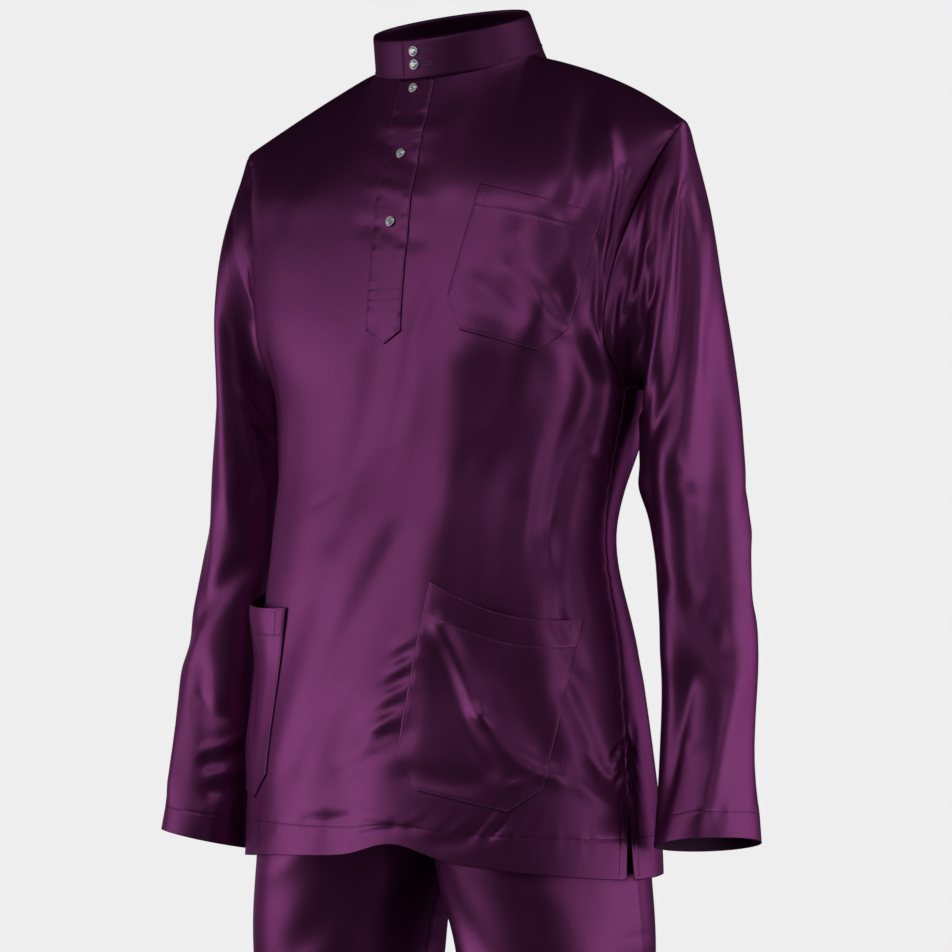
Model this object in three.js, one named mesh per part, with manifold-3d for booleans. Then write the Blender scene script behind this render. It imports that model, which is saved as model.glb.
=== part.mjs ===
// Baju melayu: a satin shirt with a stand collar over matching trousers, hollow, in its worn form.
// Millimetres. The origin is the middle of the neck opening, +Z is up, the front faces -Y and
// the wearer's left is +X.

import * as THREE from 'three';
import { mergeVertices } from 'three/addons/utils/BufferGeometryUtils.js';
import Module from 'manifold-3d';

const wasm = await Module();
wasm.setup();

// Cloth
const WALL = 1.2;
const COLLAR_WALL = 1.6;
const SEAM = 0.4;
const LAY = 0.4;
const SAME_PLACE = 0.02;

// Neck: an ellipse in a plane that rises toward the back
const NECK_HALF_WIDTH = 77;
const NECK_HALF_DEPTH = 70;
const NECK_RISE = 0.33;

// Collar: its upper edge is smaller and stands further forward
const COLLAR_HEIGHT = 36;
const COLLAR_TOP_HALF_WIDTH = 74;
const COLLAR_TOP_HALF_DEPTH = 60;
const COLLAR_TOP_FORWARD = 14;
const COLLAR_UNDER_END = 14;
const COLLAR_OVER_END = 10;
const COLLAR_RISE_START = 290;
const COLLAR_RISE_END = 341;

// Shoulder seams run from the neck points to the shoulder points
const SHOULDER = new THREE.Vector3(231, 0, -70);
const SHOULDER_BOW_UP = 8;
const SHOULDER_BOW_BACK = 14;
const NECK_SHARE = 0.36;

// Rings of the shirt up to the armholes. Each is an ellipse round a middle at `middle_y`.
// `seam` is how many degrees the side seams lie before its widest points, and `turn` how many
// degrees the cloth has turned toward the wearer's right.
const RINGS = [
  { level: -705, half_width: 205, half_depth: 133, middle_y: -16, seam: -7, turn: 19, steps: 2 },
  { level: -660, half_width: 201, half_depth: 131, middle_y: -17, seam: -7, turn: 18, steps: 1 },
  { level: -617, half_width: 197, half_depth: 129, middle_y: -19, seam: -7, turn: 17, steps: 3 },
  { level: -528, half_width: 185, half_depth: 121, middle_y: -23, seam: -8, turn: 13, steps: 3 },
  { level: -422, half_width: 168, half_depth: 110, middle_y: -29, seam: -7, turn: 7, steps: 2 },
  { level: -369, half_width: 173, half_depth: 115, middle_y: -16, seam: 2, turn: 3, steps: 2 },
  { level: -300, half_width: 181, half_depth: 121, middle_y: -7, seam: 5, turn: 0, steps: 2 },
];

// Rows above the armpits, each from a middle point to a point on the armhole seam. `sweep` is the
// part of a ring, in degrees, that the row follows.
const FRONT_ROWS = [
  { level: -260, middle_y: -126, middle_z: -260, edge_x: 180, edge_y: -52, edge_z: -262,
    sweep: 81, steps: 2 },
  { level: -202, middle_y: -119, middle_z: -202, edge_x: 187, edge_y: -55, edge_z: -207,
    sweep: 81, steps: 2 },
  { level: -156, middle_y: -111, middle_z: -154, edge_x: 197, edge_y: -42, edge_z: -158,
    sweep: 81, steps: 2 },
  { level: -118, middle_y: -103, middle_z: -120, edge_x: 209, edge_y: -26, edge_z: -118,
    sweep: 81, steps: 4 },
];
const BACK_ROWS = [
  { level: -260, middle_y: 117, middle_z: -262, edge_x: 184, edge_y: 30, edge_z: -274,
    sweep: 91, steps: 2 },
  { level: -202, middle_y: 119, middle_z: -200, edge_x: 190, edge_y: 58, edge_z: -218,
    sweep: 86, steps: 2 },
  { level: -156, middle_y: 114, middle_z: -150, edge_x: 198, edge_y: 57, edge_z: -162,
    sweep: 84, steps: 2 },
  { level: -118, middle_y: 104, middle_z: -100, edge_x: 210, edge_y: 42, edge_z: -118,
    sweep: 84, steps: 4 },
];
const TOP_LEVEL = -10;
const NECK_STEPS = 10;
const SHOULDER_STEPS = 6;
const UPRIGHT_FROM = 0.7;

// Hem: lower at the sides, raised by a soft fold near the middle of the front
const HEM_SIDE_DROP = 17;
const HEM_FOLD_RISE = 14;
const HEM_FOLD_AT = 7;
const HEM_FOLD_WIDTH = 11;
const SLIT_TOP = -655;
const SLIT_GAPE = 14;

// Rings of a sleeve below the armhole. `rise` is how much higher the outer side is than the middle,
// and `lean` how much further forward.
const SLEEVE_RINGS = [
  { middle_x: 217, middle_y: 7, level: -220, half_width: 29, half_depth: 54, rise: 80, lean: 8,
    steps: 3 },
  { middle_x: 226, middle_y: 18, level: -318, half_width: 38, half_depth: 59, rise: 14, lean: 2,
    steps: 2 },
  { middle_x: 232, middle_y: 13, level: -366, half_width: 42, half_depth: 51, rise: 0, lean: 0,
    steps: 2 },
  { middle_x: 241, middle_y: 12, level: -440, half_width: 41, half_depth: 49, rise: 0, lean: 0,
    steps: 2 },
  { middle_x: 253, middle_y: 2, level: -525, half_width: 40, half_depth: 46, rise: 0, lean: 0,
    steps: 3 },
  { middle_x: 256, middle_y: -8, level: -610, half_width: 39, half_depth: 48, rise: 0, lean: 0,
    steps: 3 },
  { middle_x: 261, middle_y: -18, level: -690, half_width: 42, half_depth: 59, rise: 0, lean: 0,
    steps: 0 },
];
const CUFF_LEVEL = { left: -690, right: -713 };
const CUFF_BACK_DROP = 9;
const CUFF_OUT_RISE = 7;
const CAP_STEPS = 3;
const CAP_LENGTH = 70;

// Folds of the shirt's body: a soft trough (or, with a negative depth, a ridge) along a line
// between two places, each given as an angle round the body from the front and a level
const BODY_FOLDS = [
  { from_angle: -1, from_level: -270, to_angle: -9, to_level: -420, half_width: 20, depth: 4 },
  { from_angle: 10, from_level: -300, to_angle: 7, to_level: -600, half_width: 24, depth: -5 },
  { from_angle: 24, from_level: -330, to_angle: 20, to_level: -560, half_width: 24, depth: 5 },
  { from_angle: 62, from_level: -190, to_angle: 38, to_level: -330, half_width: 18, depth: -4 },
  { from_angle: 72, from_level: -270, to_angle: 62, to_level: -420, half_width: 20, depth: 6 },
  { from_angle: -66, from_level: -280, to_angle: -58, to_level: -470, half_width: 22, depth: 5 },
  { from_angle: -14, from_level: -500, to_angle: -30, to_level: -690, half_width: 24, depth: 4 },
  { from_angle: 7, from_level: -600, to_angle: 7, to_level: -705, half_width: 22, depth: 6 },
  { from_angle: 150, from_level: -250, to_angle: 165, to_level: -470, half_width: 24, depth: 6 },
  { from_angle: 212, from_level: -240, to_angle: 196, to_level: -440, half_width: 24, depth: 6 },
  { from_angle: 176, from_level: -420, to_angle: 172, to_level: -700, half_width: 28, depth: 6 },
  { from_angle: 130, from_level: -520, to_angle: 136, to_level: -700, half_width: 24, depth: 5 },
  { from_angle: 226, from_level: -540, to_angle: 222, to_level: -700, half_width: 24, depth: 5 },
];
const BODY_RADIUS = 160;
const FOLD_FADE = 0.86;
const FOLD_END = 1.5;

// Folds of a sleeve: angles run from the inner side round the front, levels go down the arm
const SLEEVE_FOLDS = [
  { from_angle: 70, from_level: -190, to_angle: 35, to_level: -360, half_width: 16, depth: 5 },
  { from_angle: 120, from_level: -170, to_angle: 85, to_level: -380, half_width: 16, depth: -4 },
  { from_angle: 160, from_level: -300, to_angle: 120, to_level: -480, half_width: 16, depth: 4 },
  { from_angle: 60, from_level: -460, to_angle: 130, to_level: -520, half_width: 15, depth: 4 },
  { from_angle: 90, from_level: -560, to_angle: 60, to_level: -660, half_width: 15, depth: 5 },
  { from_angle: 150, from_level: -560, to_angle: 120, to_level: -660, half_width: 14, depth: -4 },
  { from_angle: 250, from_level: -380, to_angle: 215, to_level: -470, half_width: 15, depth: 5 },
  { from_angle: 290, from_level: -480, to_angle: 240, to_level: -560, half_width: 15, depth: 4 },
];
const SLEEVE_RADIUS = 48;

// Placket
const PLACKET_WIDTH = 36;
const PLACKET_END = -250;
const PLACKET_POINT = 11;
const PLACKET_TOP_GAP = 2;
const NECK_SLIT_END = -226;
const NECK_SLIT_WIDTH = 0.8;
const NECK_SLIT_MIDDLE = 98;

// Patch pockets: the middle as an angle from the cloth's own middle line and a level
const POCKETS = [
  { name: 'pocket_chest', angle: 44.5, level: -198, width: 110, height: 126, tilt: -15,
    chamfer_width: 20, chamfer_height: 24 },
  { name: 'pocket_left', angle: 44, level: -566, width: 132, height: 178, tilt: -12,
    chamfer_width: 26, chamfer_height: 26 },
  { name: 'pocket_right', angle: -46, level: -570, width: 132, height: 178, tilt: -8,
    chamfer_width: 26, chamfer_height: 26 },
];

// Studs: a faceted head and a foot on a neck, through holes in the cloth
const STUD_HEAD_RADIUS = 4.6;
const STUD_BASE_RADIUS = 3.7;
const STUD_TABLE_RADIUS = 2.7;
const STUD_GIRDLE_HEIGHT = 1.1;
const STUD_HEAD_HEIGHT = 3.8;
const STUD_NECK_RADIUS = 1;
const STUD_HOLE_RADIUS = 1.5;
const STUD_HOLE_DEPTH = 16;
const STUD_FOOT_RADIUS = 3.8;
const STUD_FOOT_HEIGHT = 0.9;
const STUD_PLAY = 0.9;
const STUD_FACETS = 9;
const COLLAR_STUD_HEIGHTS = [24, 12];
const PLACKET_STUD_LEVELS = [-34, -93, -154];

// Trousers. Above the crotch `inner` is 0, the plane between the legs.
const TROUSER_WALL = 1.4;
const TROUSER_ROWS = [
  { level: -432, outer: 150, inner: 0, front_y: -120, back_y: 66, middle_y: -24, steps: 1 },
  { level: -480, outer: 156, inner: 0, front_y: -124, back_y: 74, middle_y: -22, steps: 2 },
  { level: -560, outer: 174, inner: 0, front_y: -128, back_y: 89, middle_y: -19, steps: 1 },
  { level: -600, outer: 181, inner: 0, front_y: -128, back_y: 95, middle_y: -18, steps: 5 },
  { level: -705, outer: 188, inner: 0, front_y: -116, back_y: 88, middle_y: -14, steps: 2 },
  { level: -779, outer: 195, inner: 21, front_y: -108, back_y: 80, middle_y: -14, steps: 2 },
  { level: -880, outer: 192, inner: 30, front_y: -98, back_y: 72, middle_y: -13, steps: 2 },
  { level: -1060, outer: 182, inner: 30, front_y: -89, back_y: 68, middle_y: -10, steps: 3 },
  { level: -1430, outer: 178, inner: 36, front_y: -79, back_y: 67, middle_y: -6, steps: 0 },
];
const RISE_TOP = -600;
const CROTCH = -705;
const LEG_PARTING = 0.02;
const TROUSER_STEPS = 9;
const WAISTBAND_HEIGHT = 38;

// Colours of the satin and of the studs
const SATIN = { color: 0x5b2a63, roughness: 0.38, metalness: 0 };
const STUD_METAL = { color: 0xd8d8de, roughness: 0.12, metalness: 0.9 };

// Small helpers

const radians = THREE.MathUtils.degToRad;
const vector = (x, y, z) => new THREE.Vector3(x, y, z);
const steps = (count) => Array.from({ length: count + 1 }, (_, i) => i / count);

// A smooth curve through values at rising levels, with slopes from the neighbours on each side
function smoothAt(levels, values, level) {
  const last = levels.length - 1;
  let k = 0;
  while (k < last - 1 && level > levels[k + 1]) k += 1;
  const slope = (i) => {
    const before = Math.max(i - 1, 0);
    const after = Math.min(i + 1, last);
    if (before === i || after === i) {
      return values[after].clone().sub(values[before]).divideScalar(levels[after] - levels[before]);
    }
    const left = values[i].clone().sub(values[before]).divideScalar(levels[i] - levels[before]);
    const right = values[after].clone().sub(values[i]).divideScalar(levels[after] - levels[i]);
    const share = (levels[i] - levels[before]) / (levels[after] - levels[before]);
    return left.lerp(right, share);
  };
  const length = levels[k + 1] - levels[k];
  const s = (level - levels[k]) / length;
  return vector(0, 0, 0)
    .addScaledVector(values[k], (1 + 2 * s) * (1 - s) ** 2)
    .addScaledVector(slope(k), s * (1 - s) ** 2 * length)
    .addScaledVector(values[k + 1], s * s * (3 - 2 * s))
    .addScaledVector(slope(k + 1), s * s * (s - 1) * length);
}

// Levels of a table's rows with the steps between them
function stepLevels(rows, endLevel) {
  const levels = [];
  rows.forEach((row, k) => {
    const next = k + 1 < rows.length ? rows[k + 1].level : endLevel;
    for (let i = 0; i < row.steps; i += 1) {
      levels.push(row.level + ((next - row.level) * i) / row.steps);
    }
  });
  levels.push(endLevel);
  return levels;
}

// The inward push of a table of folds at an angle in degrees and a level
function foldDepth(folds, radius, angle, level) {
  return folds.reduce((sum, fold) => {
    const across = radians(1) * radius;
    const line = vector((fold.to_angle - fold.from_angle) * across, fold.to_level - fold.from_level, 0);
    const place = vector((angle - fold.from_angle) * across, level - fold.from_level, 0);
    const along = place.dot(line) / line.lengthSq();
    const aside = place.clone().addScaledVector(line, -along).length();
    const past = Math.max(0, -along, along - 1) * line.length();
    const fade = Math.exp(-((past / (FOLD_END * fold.half_width)) ** 2));
    return sum + fold.depth * fade * Math.exp(-((aside / fold.half_width) ** 2));
  }, 0);
}

// Panels. A panel is a grid of points on the cloth's outer side, panel.points[i][j], with i across
// and j along. `sign` is 1 where across x along points outward and -1 where it points inward.

function neighbours(panel, i, j) {
  const across = panel.points.length;
  const along = panel.points[0].length;
  const list = [];
  if (!panel.round && i === 0) list.push(panel.points[1][j]);
  if (!panel.round && i === across - 1) list.push(panel.points[across - 2][j]);
  if (j === 0) list.push(panel.points[i][1]);
  if (j === along - 1) list.push(panel.points[i][along - 2]);
  return list;
}

function findNormals(panel) {
  const across = panel.points.length;
  const along = panel.points[0].length;
  panel.normals = panel.points.map((column) => column.map(() => vector(0, 0, 0)));
  const cells = panel.round ? across : across - 1;
  for (let i = 0; i < cells; i += 1) {
    for (let j = 0; j < along - 1; j += 1) {
      const corners = [[i, j], [(i + 1) % across, j], [(i + 1) % across, j + 1], [i, j + 1]];
      const [a, b, c, d] = corners.map(([p, q]) => panel.points[p][q]);
      const face = c.clone().sub(a).cross(d.clone().sub(b)).multiplyScalar(panel.sign);
      corners.forEach(([p, q]) => panel.normals[p][q].add(face));
    }
  }
  panel.normals.forEach((column) => column.forEach((normal) => normal.normalize()));
}

// Parts the panels by SEAM where their edges share a point, and mitres their walls there
function seamPanels(panels) {
  const key = (p) => p.toArray().map((value) => Math.round(value / SAME_PLACE) + 0).join();
  const shared = new Map();
  panels.forEach((panel) => {
    findNormals(panel);
    panel.points.forEach((column, i) => column.forEach((point, j) => {
      const inside = neighbours(panel, i, j);
      if (!inside.length) return;
      const into = vector(0, 0, 0);
      inside.forEach((p) => into.add(p.clone().sub(point).normalize()));
      const edge = { panel, i, j, into: into.normalize(), normal: panel.normals[i][j].clone() };
      shared.set(key(point), [...(shared.get(key(point)) ?? []), edge]);
    }));
  });
  const moves = [];
  shared.forEach((edges) => edges.forEach((edge) => {
    const others = edges.filter((other) => other.panel !== edge.panel);
    if (!others.length) return;
    const into = vector(0, 0, 0);
    const normal = vector(0, 0, 0);
    others.forEach((other) => {
      into.add(other.into);
      normal.add(other.normal);
    });
    const apart = edge.into.clone().sub(into.divideScalar(others.length)).normalize();
    if (edge.into.dot(normal) <= 0) {
      edge.panel.normals[edge.i][edge.j].add(normal.divideScalar(others.length)).normalize();
    }
    moves.push(() => edge.panel.points[edge.i][edge.j].addScaledVector(apart, SEAM / 2));
  }));
  moves.forEach((move) => move());
}

// A closed wall between two offsets of a panel along its normals, the larger one outside
function wallGeometry(panel, outside, inside) {
  const across = panel.points.length;
  const along = panel.points[0].length;
  const positions = [];
  [outside, inside].forEach((offset) => {
    panel.points.forEach((column, i) => column.forEach((point, j) => {
      positions.push(...point.clone().addScaledVector(panel.normals[i][j], offset).toArray());
    }));
  });
  const at = (layer, i, j) => layer * across * along + (i % across) * along + j;
  const index = [];
  const quad = (a, b, c, d) => {
    const turned = panel.sign > 0 ? [a, b, c, a, c, d] : [a, c, b, a, d, c];
    index.push(...turned);
  };
  const cells = panel.round ? across : across - 1;
  for (let i = 0; i < cells; i += 1) {
    for (let j = 0; j < along - 1; j += 1) {
      quad(at(0, i, j), at(0, i + 1, j), at(0, i + 1, j + 1), at(0, i, j + 1));
      quad(at(1, i, j), at(1, i, j + 1), at(1, i + 1, j + 1), at(1, i + 1, j));
    }
    quad(at(0, i, 0), at(1, i, 0), at(1, i + 1, 0), at(0, i + 1, 0));
    quad(at(0, i, along - 1), at(0, i + 1, along - 1), at(1, i + 1, along - 1), at(1, i, along - 1));
  }
  if (!panel.round) {
    const last = across - 1;
    for (let j = 0; j < along - 1; j += 1) {
      quad(at(0, 0, j), at(0, 0, j + 1), at(1, 0, j + 1), at(1, 0, j));
      quad(at(0, last, j), at(1, last, j), at(1, last, j + 1), at(0, last, j + 1));
    }
  }
  const geometry = new THREE.BufferGeometry();
  geometry.setAttribute('position', new THREE.Float32BufferAttribute(positions, 3));
  geometry.setIndex(index);
  return geometry;
}

// Booleans

function toSolid(geometry) {
  const bare = geometry.clone();
  bare.deleteAttribute('normal');
  bare.deleteAttribute('uv');
  const merged = mergeVertices(bare, 1e-4);
  const vertProperties = new Float32Array(merged.attributes.position.array);
  const triVerts = new Uint32Array(merged.index.array);
  return new wasm.Manifold(new wasm.Mesh({ numProp: 3, vertProperties, triVerts }));
}

function toGeometry(solid) {
  const mesh = solid.getMesh();
  const geometry = new THREE.BufferGeometry();
  geometry.setAttribute('position', new THREE.BufferAttribute(mesh.vertProperties, 3));
  geometry.setIndex(new THREE.BufferAttribute(mesh.triVerts, 1));
  return geometry;
}

function cut(geometry, ...tools) {
  return toGeometry(tools.reduce((solid, tool) => solid.subtract(toSolid(tool)), toSolid(geometry)));
}

// Shirt body

// A point of a ring at an angle in degrees from the front, toward the wearer's left
function ringPoint(ring, angle) {
  const turned = radians(angle);
  const x = ring.half_width * Math.sin(turned);
  const y = ring.middle_y - ring.half_depth * Math.cos(turned);
  return vector(x, y, ring.level);
}

// The angle on a ring of the place t, from -1 at the wearer's right side seam to 1 at the left
function ringAngle(ring, front, t) {
  if (front) return t * (90 - ring.seam) - ring.turn;
  return 180 - t * (90 + ring.seam) - ring.turn;
}

function hemPoint(ring, front, t) {
  const angle = ringAngle(ring, front, t);
  const point = ringPoint(ring, angle);
  const aside = Math.sin(radians(angle));
  point.z -= HEM_SIDE_DROP * aside * aside;
  if (!front) point.z -= HEM_SIDE_DROP * (1 - aside * aside);
  if (front) point.z += HEM_FOLD_RISE * Math.exp(-(((angle - HEM_FOLD_AT) / HEM_FOLD_WIDTH) ** 2));
  return point;
}

// A point of a row above the armpits, carried from its middle to the armhole as a ring's part
function rowPoint(row, t) {
  const reach = radians(row.sweep);
  const toEdge = (1 - Math.cos(reach * t)) / (1 - Math.cos(reach));
  return vector(
    (row.edge_x * Math.sin(reach * t)) / Math.sin(reach),
    row.middle_y + (row.edge_y - row.middle_y) * toEdge,
    row.middle_z + (row.edge_z - row.middle_z) * toEdge,
  );
}

// The neckline and the shoulder seams
function topPoint(front, t) {
  const share = Math.abs(t);
  const side = Math.sign(t);
  if (share <= NECK_SHARE) {
    const angle = ((t / NECK_SHARE) * Math.PI) / 2;
    const y = (front ? -1 : 1) * NECK_HALF_DEPTH * Math.cos(angle);
    return vector(NECK_HALF_WIDTH * Math.sin(angle), y, NECK_RISE * y);
  }
  const out = (share - NECK_SHARE) / (1 - NECK_SHARE);
  const point = vector(NECK_HALF_WIDTH, 0, 0).lerp(SHOULDER, out);
  point.z += SHOULDER_BOW_UP * Math.sin(Math.PI * out);
  point.y += SHOULDER_BOW_BACK * Math.sin(Math.PI * out);
  point.x *= side;
  return point;
}

// The lengthwise line of the cloth at t, as levels and points from the hem over the shoulder
function bodyLine(front, t) {
  const upper = front ? FRONT_ROWS : BACK_ROWS;
  const points = RINGS.map((ring, k) => (
    k === 0 ? hemPoint(ring, front, t) : ringPoint(ring, ringAngle(ring, front, t))
  ));
  upper.forEach((row) => points.push(rowPoint(row, t)));
  const top = topPoint(front, t);
  points.push(top);
  const highest = upper.at(-1);
  const over = rowPoint((front ? BACK_ROWS : FRONT_ROWS).at(-1), t);
  const straight = top.clone().multiplyScalar(2).sub(rowPoint(highest, t));
  const onShoulder = THREE.MathUtils.smoothstep(Math.abs(t), 0.5 * NECK_SHARE, 1.3 * NECK_SHARE);
  points.push(over.lerp(straight, 1 - onShoulder));
  const levels = [...RINGS, ...upper].map((row) => row.level);
  return { levels: [...levels, TOP_LEVEL, 2 * TOP_LEVEL - highest.level], points };
}

// A point of the cloth. Up to the armpits the side seams' lines are the same in front and back.
function bodyPoint(front, t, level) {
  const line = bodyLine(front, t);
  const armpit = RINGS.length - 1;
  if (level <= RINGS[armpit].level) {
    const rise = line.levels[armpit + 1] - line.levels[armpit];
    const upright = line.points[armpit].clone().add(vector(0, 0, rise));
    line.points[armpit + 1].lerp(upright, THREE.MathUtils.smoothstep(Math.abs(t), UPRIGHT_FROM, 1));
  }
  return smoothAt(line.levels, line.points, level);
}

function acrossSteps() {
  const neck = steps(NECK_STEPS).map((s) => NECK_SHARE * (2 * s - 1));
  const shoulder = steps(SHOULDER_STEPS).slice(1).map((s) => NECK_SHARE + s * (1 - NECK_SHARE));
  return [...shoulder.map((t) => -t).reverse(), ...neck, ...shoulder];
}

function bodyPanel(front) {
  const levels = stepLevels([...RINGS, ...FRONT_ROWS], TOP_LEVEL);
  const across = acrossSteps();
  if (!front) across.reverse();
  const points = across.map((t) => levels.map((level) => bodyPoint(front, t, level)));
  const panel = { points, sign: 1, levels };
  findNormals(panel);
  const highest = RINGS.at(-1).level;
  points.forEach((column, i) => column.forEach((point, j) => {
    const level = levels[j];
    const reach = Math.abs(across[i]);
    const fromEdge = 1 - THREE.MathUtils.smoothstep(reach, FOLD_FADE, 1);
    const fromTop = 1 - THREE.MathUtils.smoothstep(level, highest, FRONT_ROWS.at(-1).level);
    const angle = front ? 90 * across[i] : 180 - 90 * across[i];
    const push = foldDepth(BODY_FOLDS, BODY_RADIUS, angle, level) * fromEdge * fromTop;
    point.addScaledVector(panel.normals[i][j], -push);
  }));
  return panel;
}

// Opens the side slits: the edges below the slit's top stand apart
function openSlits(panel) {
  const last = panel.points.length - 1;
  panel.levels.forEach((level, j) => {
    if (level >= SLIT_TOP) return;
    const open = (SLIT_GAPE / 2) * ((SLIT_TOP - level) / (SLIT_TOP - panel.levels[0]));
    [[0, 1], [last, last - 1]].forEach(([edge, inside]) => {
      const into = panel.points[inside][j].clone().sub(panel.points[edge][j]).normalize();
      panel.points[edge][j].addScaledVector(into, open);
    });
  });
}

// Sleeves

// The armhole of one side from the armpit up the front, over the shoulder and down the back
function armhole(front, back, side) {
  const edge = (panel) => panel.points.at((side > 0) === (panel === front) ? -1 : 0);
  const first = front.levels.indexOf(RINGS.at(-1).level);
  const up = edge(front).slice(first).map((p) => p.clone());
  const down = edge(back).slice(first + 1, -1).map((p) => p.clone()).reverse();
  return [...up, ...down];
}

// A cuff's edge is lower toward its inner side and its back
function cuffLevel(cuff, angle) {
  return CUFF_BACK_DROP * Math.sin(angle) - CUFF_OUT_RISE * Math.cos(angle) - cuff;
}

function sleevePanel(front, back, side) {
  const hole = armhole(front, back, side);
  const cuff = -(side > 0 ? CUFF_LEVEL.left : CUFF_LEVEL.right);
  const ringLevels = [...SLEEVE_RINGS.slice(0, -1).map((ring) => -ring.level), cuff];
  const levels = [ringLevels[0] - CAP_LENGTH, ...ringLevels];
  const counts = [CAP_STEPS, ...SLEEVE_RINGS.map((ring) => ring.steps)];
  const along = levels.slice(0, -1).flatMap((level, k) => (
    steps(counts[k]).slice(0, -1).map((s) => THREE.MathUtils.lerp(level, levels[k + 1], s))
  ));
  along.push(cuff);
  const points = hole.map((point, k) => {
    const angle = (2 * Math.PI * k) / hole.length;
    const outward = -Math.cos(angle);
    const line = [point, ...SLEEVE_RINGS.map((ring, r) => vector(
      side * (ring.middle_x + ring.half_width * outward),
      ring.middle_y - ring.half_depth * Math.sin(angle) - ring.lean * outward,
      r === SLEEVE_RINGS.length - 1 ? cuffLevel(cuff, angle) : ring.level + ring.rise * outward,
    ))];
    return along.map((level) => smoothAt(levels, line, level));
  });
  const panel = { points, sign: -side, round: true };
  findNormals(panel);
  points.forEach((column, k) => column.forEach((point, j) => {
    if (j === 0) return;
    const angle = (360 * k) / hole.length;
    const push = foldDepth(SLEEVE_FOLDS, SLEEVE_RADIUS, angle, -along[j]);
    point.addScaledVector(panel.normals[k][j], -push);
  }));
  return panel;
}

// Collar: a strip from its under end round the back to its over end, which lies outside

const COLLAR_STEPS = 40;
const COLLAR_LEVELS = [SEAM, COLLAR_HEIGHT / 3, (2 * COLLAR_HEIGHT) / 3, COLLAR_HEIGHT];

function collarPoint(angle, height, offset) {
  const share = height / COLLAR_HEIGHT;
  const width = THREE.MathUtils.lerp(NECK_HALF_WIDTH, COLLAR_TOP_HALF_WIDTH, share) + offset;
  const depth = THREE.MathUtils.lerp(NECK_HALF_DEPTH, COLLAR_TOP_HALF_DEPTH, share) + offset;
  const y = -depth * Math.cos(radians(angle)) - COLLAR_TOP_FORWARD * share;
  return vector(width * Math.sin(radians(angle)), y, NECK_RISE * y + height);
}

function collarOffset(angle) {
  const over = COLLAR_WALL + LAY;
  return over * THREE.MathUtils.smoothstep(-angle, COLLAR_RISE_START, COLLAR_RISE_END);
}

function collarPanel() {
  const start = COLLAR_UNDER_END;
  const end = -360 - COLLAR_OVER_END;
  const points = steps(COLLAR_STEPS).map((s) => {
    const angle = start + (end - start) * s;
    const offset = collarOffset(angle);
    return COLLAR_LEVELS.map((height) => collarPoint(angle, height, offset));
  });
  const normals = steps(COLLAR_STEPS).map((s) => {
    const angle = start + (end - start) * s;
    const offset = collarOffset(angle);
    return COLLAR_LEVELS.map((height) => (
      collarPoint(angle, height, offset).sub(collarPoint(angle, height, offset - 1))
    ));
  });
  return { points, normals, sign: -1 };
}

// Patches on the front, cut from the cloth moved outward

const PRISM_DEPTH = 150;

// A prism of an upright outline that faces `heading` degrees from the front, round `middle`
function prism(outline, middle, heading, tilt) {
  const settings = { depth: PRISM_DEPTH, bevelEnabled: false };
  const geometry = new THREE.ExtrudeGeometry(new THREE.Shape(outline), settings);
  geometry.translate(0, 0, -PRISM_DEPTH / 2);
  geometry.rotateZ(radians(tilt));
  geometry.rotateX(Math.PI / 2);
  geometry.rotateZ(radians(heading));
  geometry.translate(middle.x, middle.y, middle.z);
  return geometry;
}

function patch(front, tool) {
  const shell = toSolid(wallGeometry(front, LAY + WALL, LAY));
  return toGeometry(shell.intersect(toSolid(tool)));
}

function pocketGeometry(front, pocket) {
  const wide = pocket.width / 2;
  const tall = pocket.height / 2;
  const outline = [
    new THREE.Vector2(-wide, tall),
    new THREE.Vector2(-wide, pocket.chamfer_height - tall),
    new THREE.Vector2(pocket.chamfer_width - wide, -tall),
    new THREE.Vector2(wide - pocket.chamfer_width, -tall),
    new THREE.Vector2(wide, pocket.chamfer_height - tall),
    new THREE.Vector2(wide, tall),
  ];
  const at = (angle) => bodyPoint(true, angle / 90, pocket.level);
  const middle = at(pocket.angle);
  const beside = at(pocket.angle + 1).sub(at(pocket.angle - 1));
  const heading = THREE.MathUtils.radToDeg(Math.atan2(beside.y, beside.x));
  return patch(front, prism(outline, middle, heading, pocket.tilt));
}

function placketGeometry(front) {
  const wide = PLACKET_WIDTH / 2;
  const top = -NECK_RISE * NECK_HALF_DEPTH - PLACKET_TOP_GAP;
  const outline = [
    new THREE.Vector2(-wide, top),
    new THREE.Vector2(-wide, PLACKET_END),
    new THREE.Vector2(0, PLACKET_END - PLACKET_POINT),
    new THREE.Vector2(wide, PLACKET_END),
    new THREE.Vector2(wide, top),
  ];
  return patch(front, prism(outline, vector(0, -NECK_HALF_DEPTH, 0), 0, 0));
}

// Studs

function studGeometry(stack) {
  const foot = -stack - STUD_PLAY;
  const profile = [
    [0, foot - STUD_FOOT_HEIGHT],
    [STUD_FOOT_RADIUS, foot - STUD_FOOT_HEIGHT],
    [STUD_FOOT_RADIUS, foot],
    [STUD_NECK_RADIUS, foot],
    [STUD_NECK_RADIUS, SEAM],
    [STUD_BASE_RADIUS, SEAM],
    [STUD_HEAD_RADIUS, SEAM + STUD_GIRDLE_HEIGHT],
    [STUD_TABLE_RADIUS, SEAM + STUD_HEAD_HEIGHT],
    [0, SEAM + STUD_HEAD_HEIGHT],
  ];
  return new THREE.LatheGeometry(profile.map(([r, y]) => new THREE.Vector2(r, y)), STUD_FACETS);
}

function holeGeometry() {
  return new THREE.CylinderGeometry(STUD_HOLE_RADIUS, STUD_HOLE_RADIUS, STUD_HOLE_DEPTH, STUD_FACETS);
}

// Turns a geometry made along +Y to point along `outward` and sets it at `place`
function setAt(geometry, place, outward) {
  const turn = new THREE.Quaternion().setFromUnitVectors(vector(0, 1, 0), outward);
  geometry.applyQuaternion(turn);
  geometry.translate(place.x, place.y, place.z);
  return geometry;
}

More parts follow.
